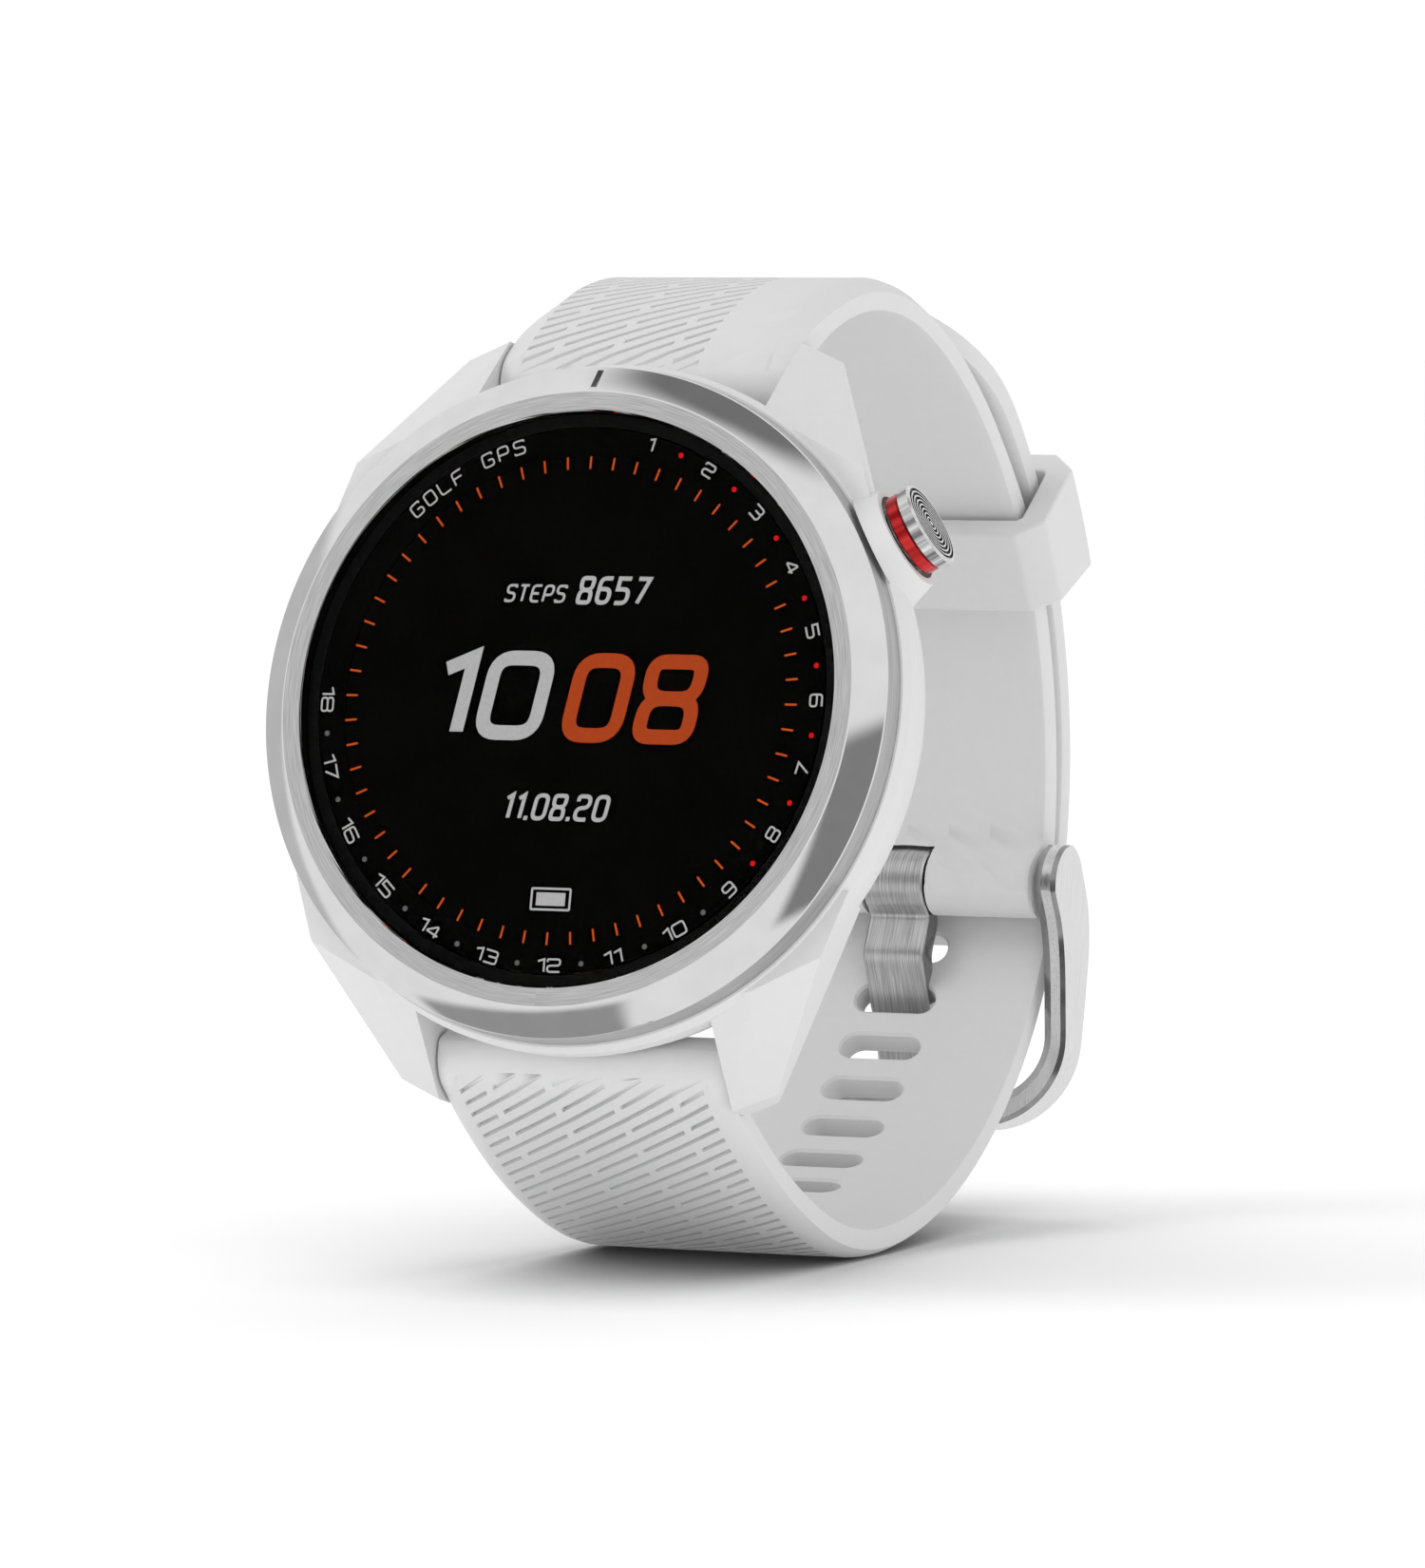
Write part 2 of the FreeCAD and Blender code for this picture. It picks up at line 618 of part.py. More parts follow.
def loop_outline(half, inner, outer, corner):
    """A chamfered rectangle across the band, in (x, radius) about the loop centre."""
    shape = [(half - corner, inner), (half, inner + corner), (half, outer - corner), (half - corner, outer)]
    shape += [(-x, r) for x, r in reversed(shape)]
    corners = [V(x, LOOP_Y + r, LOOP_Z) for x, r in shape]
    return Part.Face(Part.makePolygon(corners + [corners[0]]))


def keeper():
    """The free loop round strap and tail."""
    inner = (STRAP_HALF + 0.4, UPPER_R - UPPER_THICK - 0.35, TAIL_R + 0.35)
    outer = (inner[0] + KEEPER_WALL, inner[1] - KEEPER_WALL, inner[2] + KEEPER_WALL)
    section = loop_outline(*outer, 1.3).cut(loop_outline(*inner, 0.3))
    centre = V(0, LOOP_Y, LOOP_Z)
    loop = section.Faces[0].revolve(centre, X_AXIS, KEEPER_SPAN)
    loop.rotate(centre, X_AXIS, KEEPER_ANGLE - KEEPER_SPAN / 2)
    return loop


# ---- writing ----
def placed(shape):
    """Moves a shape from the upright frame to the written one."""
    out = shape.copy()
    out.translate(V(0, -HEAD_BACK, 0))
    out.rotate(V(0, 0, 0), X_AXIS, -LEAN)
    return out


def write(name, shape):
    solid = placed(shape)
    if solid.ShapeType == "Compound" and len(solid.Solids) == 1:
        solid = solid.Solids[0]
    if not solid.isValid():
        print("not valid:", name)
    print(name, solid.ShapeType, len(solid.Solids), round(solid.Volume, 2))
    solid.exportStep("parts/" + name + ".step")


SINGLE_PARTS = [
    bezel_ring, lens, lens_gasket, dial_mask, touch_layer, display_panel, display_frame, display_flex,
    gps_antenna, main_board, board_components, board_screws, battery, vibration_motor, button_switch,
    case_body, case_gasket, case_back, contact_carrier, charging_pins, back_screws, button_cap,
    button_collar, button_stem, button_clip, button_sleeve, button_oring, button_spring, upper_strap,
    lower_strap, buckle_pin, buckle_frame, buckle_tongue, keeper]
BAR_PARTS = [bar_tube, bar_tip, bar_lever, bar_spring]


def main():
    os.makedirs("parts", exist_ok=True)
    for make in SINGLE_PARTS:
        write(make.__name__, make())
    for side, z in (("upper", BAR_Z), ("lower", -BAR_Z)):
        for make in BAR_PARTS:
            write(side + "_" + make.__name__, make(z))


main()
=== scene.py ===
"""Looks of the golf GPS watch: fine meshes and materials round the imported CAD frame."""
import bmesh
import bpy
import math
import numpy as np
from mathutils import Matrix, Vector


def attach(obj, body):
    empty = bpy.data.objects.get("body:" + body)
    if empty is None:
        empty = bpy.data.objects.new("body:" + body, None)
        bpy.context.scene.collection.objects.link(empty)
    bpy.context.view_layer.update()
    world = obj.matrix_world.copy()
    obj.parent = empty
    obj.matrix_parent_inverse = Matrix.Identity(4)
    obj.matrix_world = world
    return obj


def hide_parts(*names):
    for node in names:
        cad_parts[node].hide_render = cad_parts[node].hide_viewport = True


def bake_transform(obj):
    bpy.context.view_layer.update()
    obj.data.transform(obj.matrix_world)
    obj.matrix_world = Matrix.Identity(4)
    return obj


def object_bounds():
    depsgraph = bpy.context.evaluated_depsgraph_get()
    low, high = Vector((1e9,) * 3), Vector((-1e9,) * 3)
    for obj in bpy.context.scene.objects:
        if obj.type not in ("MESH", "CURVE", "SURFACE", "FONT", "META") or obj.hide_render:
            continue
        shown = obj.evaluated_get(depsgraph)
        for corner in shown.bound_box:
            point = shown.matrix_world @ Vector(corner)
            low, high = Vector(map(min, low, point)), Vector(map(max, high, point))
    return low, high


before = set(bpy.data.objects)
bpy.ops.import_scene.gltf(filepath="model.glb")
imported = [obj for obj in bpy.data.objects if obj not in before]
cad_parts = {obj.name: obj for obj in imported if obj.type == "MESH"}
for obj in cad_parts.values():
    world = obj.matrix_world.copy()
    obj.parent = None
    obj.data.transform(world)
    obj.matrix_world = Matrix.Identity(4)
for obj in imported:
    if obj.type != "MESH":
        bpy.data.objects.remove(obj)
cad_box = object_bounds()
scene = bpy.context.scene

# The watch is described in its own upright frame, in millimetres: x to 3 o'clock, y from the dial
# towards the wrist, z to 12 o'clock.  to_row() takes that to the frame's metres.
LEAN = math.radians(12.5)
HEAD_BACK = 11.04

STRAP_HALF = 9.85            # half of both straps' width
UPPER_THICK = 2.2
LOWER_THICK = 1.9
BAR_Y = 8.79                 # the spring bars, and the round strap ends on them
BAR_Z = 21.75
BAR_HOLE_R = 0.92
BARREL_R = 2.25
LOOP = (25.3, -1.6)          # centre of the band's rear arcs, as y and z
UPPER_R = 32.277
TAIL_R = 35.0
TAIL_END = 80.0
CROWN_START = 48.0           # the upper strap's arcs, as angles about their centres
CROWN_R = 36.0
CROWN_END = 80.0
PIN_ANGLE = -1.9             # the buckle pin, on the upper strap's end
PIN_R = 2.2
PIN_HOLE_R = 0.95
REAR_R = 28.9                # the lower strap's arcs
REAR_TOP = 20.8
REAR_BOTTOM = -35.6
LONG_R = 35.0
LONG_END = -75.0
BELLY_R = 25.5
BELLY_END = -100.4
SLOT_ANGLE = -24.2           # the slot that the tongue is in
SLOT_PITCH = 4.2
SLOTS = range(-6, 5)
SLOT_R = 1.0
SLOT_LENGTH = 5.7
TONGUE_HALF = 2.15

GROOVE_PITCH = 1.14
GROOVE_SLOPE = 0.66
GROOVE_WIDTH = 0.32
GROOVE_DEPTH = 0.4
GAP_HALF = 0.27              # half of the gap between two dashes of a groove

BUTTON_ANGLE = math.radians(60)
BUTTON_Y = 4.9
BUTTON_AXIS = np.array([math.sin(BUTTON_ANGLE), 0, math.cos(BUTTON_ANGLE)])


# ---- points ----
def to_row(points):
    """Watch-frame millimetres to the frame's metres."""
    p = np.asarray(points, float).reshape(-1, 3)
    y = p[:, 1] - HEAD_BACK
    z = p[:, 2]
    across = y * math.cos(LEAN) + z * math.sin(LEAN)
    up = z * math.cos(LEAN) - y * math.sin(LEAN)
    return np.stack([p[:, 0], across, up], 1) / 1000


def polar(centre, radius, angle):
    """The point at an angle in degrees round a centre."""
    turn = np.radians(angle)
    return centre[0] + radius * np.cos(turn), centre[1] + radius * np.sin(turn)


def smooth_step(value, low, high):
    """0 below low and 1 above high, with a smooth rise between them."""
    t = np.clip((np.asarray(value, float) - low) / (high - low), 0, 1)
    return t * t * (3 - 2 * t)


def spline(points, count):
    """Points along a smooth curve through the given ones."""
    p = np.asarray(points, float)
    p = np.vstack([2 * p[0] - p[1], p, 2 * p[-1] - p[-2]])
    out = []
    spans = len(p) - 3
    for t in np.linspace(0, spans, count):
        i = min(int(t), spans - 1)
        f = t - i
        a, b, c, d = p[i:i + 4]
        out.append(0.5 * (2 * b + (c - a) * f + (2 * a - 5 * b + 4 * c - d) * f ** 2
                          + (3 * b - a - 3 * c + d) * f ** 3))
    return np.array(out)


# ---- meshes ----
MERGE = 2e-7                 # metres


def add_mesh(name, points, faces, materials=(), face_materials=None):
    """A mesh object from watch-frame points, with a material index for each face."""
    mesh = bpy.data.meshes.new(name)
    mesh.from_pydata(to_row(points).tolist(), [], faces)
    obj = bpy.data.objects.new(name, mesh)
    scene.collection.objects.link(obj)
    for mat in materials:
        mesh.materials.append(mat)
    if face_materials is not None:
        mesh.polygons.foreach_set("material_index", face_materials)
    return obj


def tidy_mesh(obj, sharp=32.0):
    """Merges doubles, turns faces outwards and shades smooth between sharp edges."""
    bm = bmesh.new()
    bm.from_mesh(obj.data)
    bmesh.ops.remove_doubles(bm, verts=bm.verts, dist=MERGE)
    bmesh.ops.dissolve_degenerate(bm, edges=bm.edges, dist=MERGE / 2)
    bmesh.ops.recalc_face_normals(bm, faces=bm.faces)
    bm.to_mesh(obj.data)
    bm.free()
    obj.data.shade_smooth()
    obj.data.set_sharp_from_angle(angle=math.radians(sharp))
    return obj


def apply_modifiers(obj):
    """Replaces an object's mesh by the result of its modifiers."""
    graph = bpy.context.evaluated_depsgraph_get()
    mesh = bpy.data.meshes.new_from_object(obj.evaluated_get(graph))
    obj.modifiers.clear()
    old = obj.data
    obj.data = mesh
    bpy.data.meshes.remove(old)


def round_edges(obj, width, segments, angle):
    """Rounds the edges sharper than an angle; the width is in millimetres."""
    modifier = obj.modifiers.new("round", "BEVEL")
    modifier.width = width / 1000
    modifier.segments = segments
    modifier.limit_method = "ANGLE"
    modifier.angle_limit = math.radians(angle)
    apply_modifiers(obj)


def cut_away(obj, cutters):
    """Cuts closed meshes out of a mesh."""
    for cutter in cutters:
        modifier = obj.modifiers.new("cut", "BOOLEAN")
        modifier.operation = "DIFFERENCE"
        modifier.solver = "EXACT"
        modifier.object = cutter
    apply_modifiers(obj)
    for cutter in cutters:
        bpy.data.objects.remove(cutter)


def grid_faces(rows, columns, loop_rows=False):
    """Quads between rings of points laid out one ring after another."""
    faces = []
    for r in range(rows if loop_rows else rows - 1):
        for c in range(columns):
            a = r * columns + c
            b = r * columns + (c + 1) % columns
            d = (r + 1) % rows * columns
            faces.append((a, b, d + (c + 1) % columns, d + c))
    return faces


def capped_faces(rings, size):
    """Quads between rings of points, with a face over each end."""
    last = rings * size
    ends = [tuple(range(size)), tuple(range(last - 1, last - size - 1, -1))]
    return grid_faces(rings, size) + ends


def prism(outline, start, end, place):
    """A closed cutter: an outline that a function places at two distances."""
    n = len(outline)
    points = [place(p, start) for p in outline] + [place(p, end) for p in outline]
    faces = [tuple(range(n)), tuple(range(2 * n - 1, n - 1, -1))]
    faces += [(i, (i + 1) % n, n + (i + 1) % n, n + i) for i in range(n)]
    return tidy_mesh(add_mesh("cutter", points, faces))


def box_cutter(low, high):
    corners = [(low[0], low[1]), (high[0], low[1]), (high[0], high[1]), (low[0], high[1])]
    return prism(corners, low[2], high[2], lambda p, z: (p[0], p[1], z))


def rod_cutter(radius, half, y, z, count=48):
    """A cylinder along x."""
    circle = [polar((y, z), radius, 360 * i / count) for i in range(count)]
    return prism(circle, -half, half, lambda p, x: (x, p[0], p[1]))


def turned(name, profile, materials, segments, button=False):
    """A solid turned about the dial's axis, or the button's, from (radius, distance) corners.

    A third value of a corner is the material index of the face from it to the next corner."""
    angles = np.arange(segments) * 2 * math.pi / segments
    radius = np.array([p[0] for p in profile])
    along = np.array([p[1] for p in profile])
    side = np.outer(np.cos(angles), radius)
    up = np.outer(np.sin(angles), radius)
    depth = np.broadcast_to(along, side.shape)
    if button:
        cross = np.array([math.cos(BUTTON_ANGLE), 0, -math.sin(BUTTON_ANGLE)])
        points = (depth[..., None] * BUTTON_AXIS + side[..., None] * cross
                  + up[..., None] * np.array([0, 1, 0]) + np.array([0, BUTTON_Y, 0]))
    else:
        points = np.stack([side, depth, up], -1)
    faces = grid_faces(segments, len(profile), loop_rows=True)
    kinds = [corner[2] if len(corner) > 2 else 0 for corner in profile] * segments
    return tidy_mesh(add_mesh(name, points.reshape(-1, 3), faces, materials, kinds))


# ---- node materials ----
def link(tree, a, b):
    tree.links.new(a, b)


def maths(tree, operation, a, b=None):
    """One sum of sockets or numbers."""
    node = tree.nodes.new("ShaderNodeMath")
    node.operation = operation
    for socket, value in zip(node.inputs, (a, b)):
        if value is None:
            continue
        if isinstance(value, (int, float)):
            socket.default_value = value
        else:
            link(tree, value, socket)
    return node.outputs[0]


def ramp(tree, value, low, high, out_low=0.0, out_high=1.0):
    """A smooth step of a value from low to high."""
    node = tree.nodes.new("ShaderNodeMapRange")
    node.interpolation_type = "SMOOTHSTEP"
    link(tree, value, node.inputs["Value"])
    node.inputs["From Min"].default_value = low
    node.inputs["From Max"].default_value = high
    node.inputs["To Min"].default_value = out_low
    node.inputs["To Max"].default_value = out_high
    return node.outputs[0]


def combine(tree, x, y, z):
    node = tree.nodes.new("ShaderNodeCombineXYZ")
    for socket, value in zip(node.inputs, (x, y, z)):
        if isinstance(value, (int, float)):
            socket.default_value = value
        else:
            link(tree, value, socket)
    return node.outputs[0]


def watch_coordinates(tree):
    """Object coordinates turned into the upright watch frame, as x, y, z sockets in metres."""
    source = tree.nodes.new("ShaderNodeTexCoord")
    turn = tree.nodes.new("ShaderNodeMapping")
    turn.inputs["Rotation"].default_value = (LEAN, 0, 0)
    link(tree, source.outputs["Object"], turn.inputs["Vector"])
    split = tree.nodes.new("ShaderNodeSeparateXYZ")
    link(tree, turn.outputs["Vector"], split.inputs[0])
    return split.outputs


TURNED_DRAW = 0.0005         # metres for each radian round the dial
DRAW = 0.02


def grain_vector(tree, grain):
    """The vector that a surface's fine pattern is laid out by; small factors draw it out into lines."""
    x, y, z = watch_coordinates(tree)
    if grain == "turned":
        radius = maths(tree, "SQRT", maths(tree, "ADD", maths(tree, "MULTIPLY", x, x),
                                           maths(tree, "MULTIPLY", z, z)))
        angle = maths(tree, "ARCTAN2", x, z)
        return combine(tree, radius, maths(tree, "MULTIPLY", angle, TURNED_DRAW), y)
    # Round the button's axis: the cap side's and the red collar's colour swing with this angle as painted
    # reflections and shade.
    if grain == "around":
        across = maths(tree, "SUBTRACT", maths(tree, "MULTIPLY", x, math.cos(BUTTON_ANGLE)),
                       maths(tree, "MULTIPLY", z, math.sin(BUTTON_ANGLE)))
        deep = maths(tree, "SUBTRACT", y, (BUTTON_Y - HEAD_BACK) / 1000)
        angle = maths(tree, "ARCTAN2", deep, across)
        return combine(tree, maths(tree, "COSINE", angle), maths(tree, "SINE", angle), 0.0)
    if grain == "length":
        return combine(tree, x, maths(tree, "MULTIPLY", y, DRAW), maths(tree, "MULTIPLY", z, DRAW))
    if grain == "side":
        return combine(tree, x, y, maths(tree, "MULTIPLY", z, DRAW))
    return combine(tree, x, y, z)


def noise(tree, vector, scale, detail=3.0):
    node = tree.nodes.new("ShaderNodeTexNoise")
    node.inputs["Scale"].default_value = scale
    node.inputs["Detail"].default_value = detail
    link(tree, vector, node.inputs["Vector"])
    return node.outputs["Fac"]


def ring_tangent(tree):
    """The direction of turning about the watch's axis, for the brushed rings' gloss."""
    source = tree.nodes.new("ShaderNodeTexCoord")
    cross = tree.nodes.new("ShaderNodeVectorMath")
    cross.operation = "CROSS_PRODUCT"
    cross.inputs[0].default_value = (0, math.cos(LEAN), -math.sin(LEAN))
    link(tree, source.outputs["Object"], cross.inputs[1])
    return cross.outputs[0]


BUMP_HEIGHT = 0.00005        # metres


def paint(name, dark, light, rough, scale, metallic=0.0, bump=0.0, bump_scale=4000.0, grain="even",
          **sockets):
    """A procedural finish: colour and roughness vary between two values, with a fine bump.

    The scales are in cycles for each metre, but for the grain around the button."""
    mat = bpy.data.materials.new(name)
    mat.use_nodes = True
    tree = mat.node_tree
    bsdf = tree.nodes["Principled BSDF"]
    bsdf.inputs["Metallic"].default_value = metallic
    for socket, value in sockets.items():
        bsdf.inputs[socket.replace("_", " ")].default_value = value
    vector = grain_vector(tree, grain)
    pattern = noise(tree, vector, scale)
    mix = tree.nodes.new("ShaderNodeMix")
    mix.data_type = "RGBA"
    link(tree, ramp(tree, pattern, 0.3, 0.7), mix.inputs["Factor"])
    mix.inputs["A"].default_value = (*dark, 1)
    mix.inputs["B"].default_value = (*light, 1)
    link(tree, mix.outputs["Result"], bsdf.inputs["Base Color"])
    link(tree, ramp(tree, pattern, 0.25, 0.75, rough[0], rough[1]), bsdf.inputs["Roughness"])
    if grain == "turned":
        link(tree, ring_tangent(tree), bsdf.inputs["Tangent"])
    if bump:
        node = tree.nodes.new("ShaderNodeBump")
        node.inputs["Strength"].default_value = bump
        node.inputs["Distance"].default_value = BUMP_HEIGHT
        link(tree, noise(tree, vector, bump_scale, 2.0), node.inputs["Height"])
        link(tree, node.outputs["Normal"], bsdf.inputs["Normal"])
    return mat


def grey(value):
    return (value, value, value)


POLYMER = paint("white_polymer", grey(0.80), grey(0.81), (0.4, 0.46), 1500, bump=0.1, bump_scale=12000)
SILICONE = paint("white_silicone", grey(0.795), grey(0.805), (0.48, 0.54), 1500, bump=0.1,
                 bump_scale=10000, Sheen_Weight=0.05)
FACE_STEEL = paint("brushed_ring", grey(0.5), grey(0.7), (0.3, 0.4), 15000, 1.0, 0.1, 20000, "turned",
                   Anisotropic=0.8)
CHAMFER_STEEL = paint("polished_chamfer", grey(0.84), grey(0.88), (0.05, 0.08), 500, 1.0)
SIDE_STEEL = paint("brushed_side", grey(0.48), grey(0.62), (0.36, 0.44), 9000, 1.0, 0.1, 12000, "turned")
BRUSHED = paint("brushed_steel", grey(0.42), grey(0.76), (0.28, 0.38), 14000, 1.0, 0.2, 16000, "length")
FRAME_STEEL = paint("frame_steel", grey(0.86), grey(0.96), (0.26, 0.34), 9000, 1.0, 0.08, 12000, "side")
POLISHED = paint("polished_steel", grey(0.3), grey(0.38), (0.1, 0.16), 900, 1.0)
CAP_STEEL = paint("cap_steel", grey(0.7), grey(0.84), (0.12, 0.18), 6, 1.0, grain="around")
# Painted reflections: the cap's polished side wall gets dark and bright streaks in its colour, round the
# button.
CAP_SIDE_REFLECTIONS = paint("cap_side_painted_reflections", grey(0.2), grey(0.95), (0.1, 0.16), 5, 1.0, grain="around")
# Painted shade: the turned grooves in the cap's face get a near-black steel colour.
CAP_GROOVE_SHADE = paint("cap_groove_painted_shade", grey(0.1), grey(0.2), (0.2, 0.3), 6, 1.0, grain="around")
# Painted shade and highlight: the red runs from dark to bright round the button's axis.
RED_WITH_PAINTED_SHADE = paint("red_anodised", (0.25, 0.006, 0.01), (0.8, 0.05, 0.05), (0.2, 0.28), 3, 1.0, grain="around")
GLASS = paint("cover_glass", grey(0.97), grey(1.0), (0.0, 0.02), 300, Transmission_Weight=1.0, IOR=1.04)
BLACK = paint("black_print", grey(0.0015), grey(0.0025), (0.5, 0.6), 600, Specular_IOR_Level=0.0)
RUBBER = paint("black_rubber", grey(0.003), grey(0.006), (0.6, 0.7), 2000, bump=0.1,
               Specular_IOR_Level=0.05)
DARK_POLYMER = paint("dark_polymer", grey(0.03), grey(0.05), (0.4, 0.5), 1500, bump=0.1)
LAMINATE = paint("green_laminate", (0.01, 0.09, 0.03), (0.02, 0.14, 0.05), (0.3, 0.4), 1500)
AMBER = paint("amber_film", (0.5, 0.2, 0.02), (0.6, 0.28, 0.04), (0.3, 0.4), 1500)
GOLD = paint("gold_plate", (0.8, 0.55, 0.2), (0.9, 0.65, 0.28), (0.15, 0.25), 2500, 1.0)
FOIL = paint("battery_foil", grey(0.4), grey(0.5), (0.3, 0.4), 1500, 0.9)
FINISHES = {"white_polymer": POLYMER, "white_silicone": SILICONE, "bezel_steel": FACE_STEEL,
            "brushed_steel": BRUSHED, "polished_steel": POLISHED, "red_anodised": RED_WITH_PAINTED_SHADE, "cover_glass": GLASS,
            "touch_film": BLACK, "black_print": BLACK, "display_glass": BLACK, "black_rubber": RUBBER,
            "dark_polymer": DARK_POLYMER, "green_laminate": LAMINATE, "amber_film": AMBER,
            "gold_plate": GOLD, "battery_foil": FOIL}


def lit(name, colour):
    """Ink of the lit dial: its glow carries the colour, with a slight unevenness."""
    dim = tuple(0.92 * c for c in colour)
    mat = paint(name, dim, colour, (0.5, 0.6), 4000, Emission_Strength=1.0, Specular_IOR_Level=0.0)
    tree = mat.node_tree
    bsdf = tree.nodes["Principled BSDF"]
    ink = bsdf.inputs["Base Color"].links[0]
    link(tree, ink.from_socket, bsdf.inputs["Emission Color"])
    tree.links.remove(ink)
    bsdf.inputs["Base Color"].default_value = (0.002, 0.002, 0.002, 1)
    return mat


def finish_cad_nodes():
    """Gives every CAD node the finish of its record slot."""
    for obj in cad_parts.values():
        for place in obj.material_slots:
            key = place.material.name.split(".")[0] if place.material else ""
            if key in FINISHES:
                place.material = FINISHES[key]
            else:
                print("no finish for", obj.name, key)


# ---- straps ----
def chain_from(first, arcs):
    """A strap's outer face as arcs, each carried on from the last: centre, radius, start, end."""
    chain = [first]
    for radius, end in arcs:
        centre, old, _, turn = chain[-1]
        chain.append((polar(centre, old - radius, turn), radius, turn, end))
    return chain


def close_on_bar(chain, bar_z):
    """Adds the arc that runs on to a spring bar's barrel."""
    centre, old, _, turn = chain[-1]
    start = np.array(polar(centre, old, turn)) - np.array([BAR_Y, bar_z])
    out = np.array(polar((0, 0), 1, turn))
    radius = (start @ start - BARREL_R ** 2) / (2 * start @ out - 2 * BARREL_R)
    last = polar(centre, old - radius, turn)
    end = math.degrees(math.atan2(bar_z - last[1], BAR_Y - last[0]))
    return chain + [(last, radius, turn, end)]


PIN = polar(LOOP, UPPER_R - PIN_R, PIN_ANGLE)
UPPER_CHAIN = close_on_bar(chain_from((LOOP, UPPER_R, PIN_ANGLE, CROWN_START),
                                      [(CROWN_R, CROWN_END)]), BAR_Z)
LOWER_CHAIN = close_on_bar(chain_from((LOOP, TAIL_R, TAIL_END, REAR_TOP), [
    (REAR_R, REAR_BOTTOM), (LONG_R, LONG_END), (BELLY_R, BELLY_END)]), -BAR_Z)


class Path:
    """A strap's outer face, measured in millimetres from the spring bar's barrel."""

    def __init__(self, chain):
        self.arcs = [(c, r, b, a) for c, r, a, b in reversed(chain)]
        lengths = [abs(math.radians(b - a)) * r for c, r, a, b in self.arcs]
        self.marks = np.concatenate([[0], np.cumsum(lengths)])
        self.length = self.marks[-1]

    def at(self, s, depth=0.0):
        """Side-plane points at distances along the face, moved in by a depth, and outward normals."""
        s = np.asarray(s, float)
        index = np.clip(np.searchsorted(self.marks, s, side="right") - 1, 0, len(self.arcs) - 1)
        centre = np.array([a[0] for a in self.arcs])[index]
        radius = np.array([a[1] for a in self.arcs])[index]
        first = np.array([a[2] for a in self.arcs])[index]
        turn = np.sign(self.arcs[0][3] - self.arcs[0][2])
        angle = np.radians(first) + turn * (s - self.marks[index]) / radius
        normal = np.stack([np.cos(angle), np.sin(angle)], -1)
        return centre + normal * (radius - depth)[..., None], normal

    def where(self, mark, angle):
        """Distance along the face of an angle on one of its arcs."""
        c, r, a, b = self.arcs[mark]
        return self.marks[mark] + abs(math.radians(angle - a)) * r


TEXTURE_HALF = 8.4           # half-width of the grooved face
TEXTURE_START = -1.6         # where the grooves start, on the round end
WALL = 0.07                  # run of a groove's steep wall
GROOVE_ROWS = [(0, 0), (WALL, 1), (GROOVE_WIDTH, 1), (GROOVE_WIDTH + WALL, 0), (0.75, 0)]
PLAIN_ROWS = [(0, 0), (0.38, 0), (0.76, 0)]
FADE_IN = 2.0                # the grooves' run-in and run-out
FADE_OUT = 1.5
SHARP = 28                   # degrees, for shading the straps
EDGE_STEPS = np.array([0.25, 0.5, 0.75, 1.0])
SOFT_TURNS = np.radians([0, 45, 90])
INNER_COLUMNS = np.linspace(0.9, -0.9, 7) * STRAP_HALF
END_REACH = 5.0              # how far the thickened end reaches from the bar's tangent point
END_STEPS = 9
BARREL_STEPS = 11            # rows over the barrel's quarter turn beyond the tangent point
GROOVED_STEPS = 5            # how many of those the grooves reach over
END_SKIRT = 0.08             # nearest that a groove row comes to the plain rows


def outer_columns(gaps, right):
    """Columns over a strap's face, close together at the ends and gaps of the grooves."""
    columns = list(np.linspace(-TEXTURE_HALF + 2, TEXTURE_HALF - 2, 7))
    columns = [c for c in columns if all(abs(c - gap) > 0.6 for gap in gaps) and abs(c - right) > 0.4]
    for gap in gaps:
        columns += [gap - GAP_HALF - WALL, gap - GAP_HALF, gap + GAP_HALF, gap + GAP_HALF + WALL]
    columns += [-TEXTURE_HALF, -TEXTURE_HALF + WALL, right - WALL, right, TEXTURE_HALF]
    return np.array(sorted(set(np.round(columns, 4))))


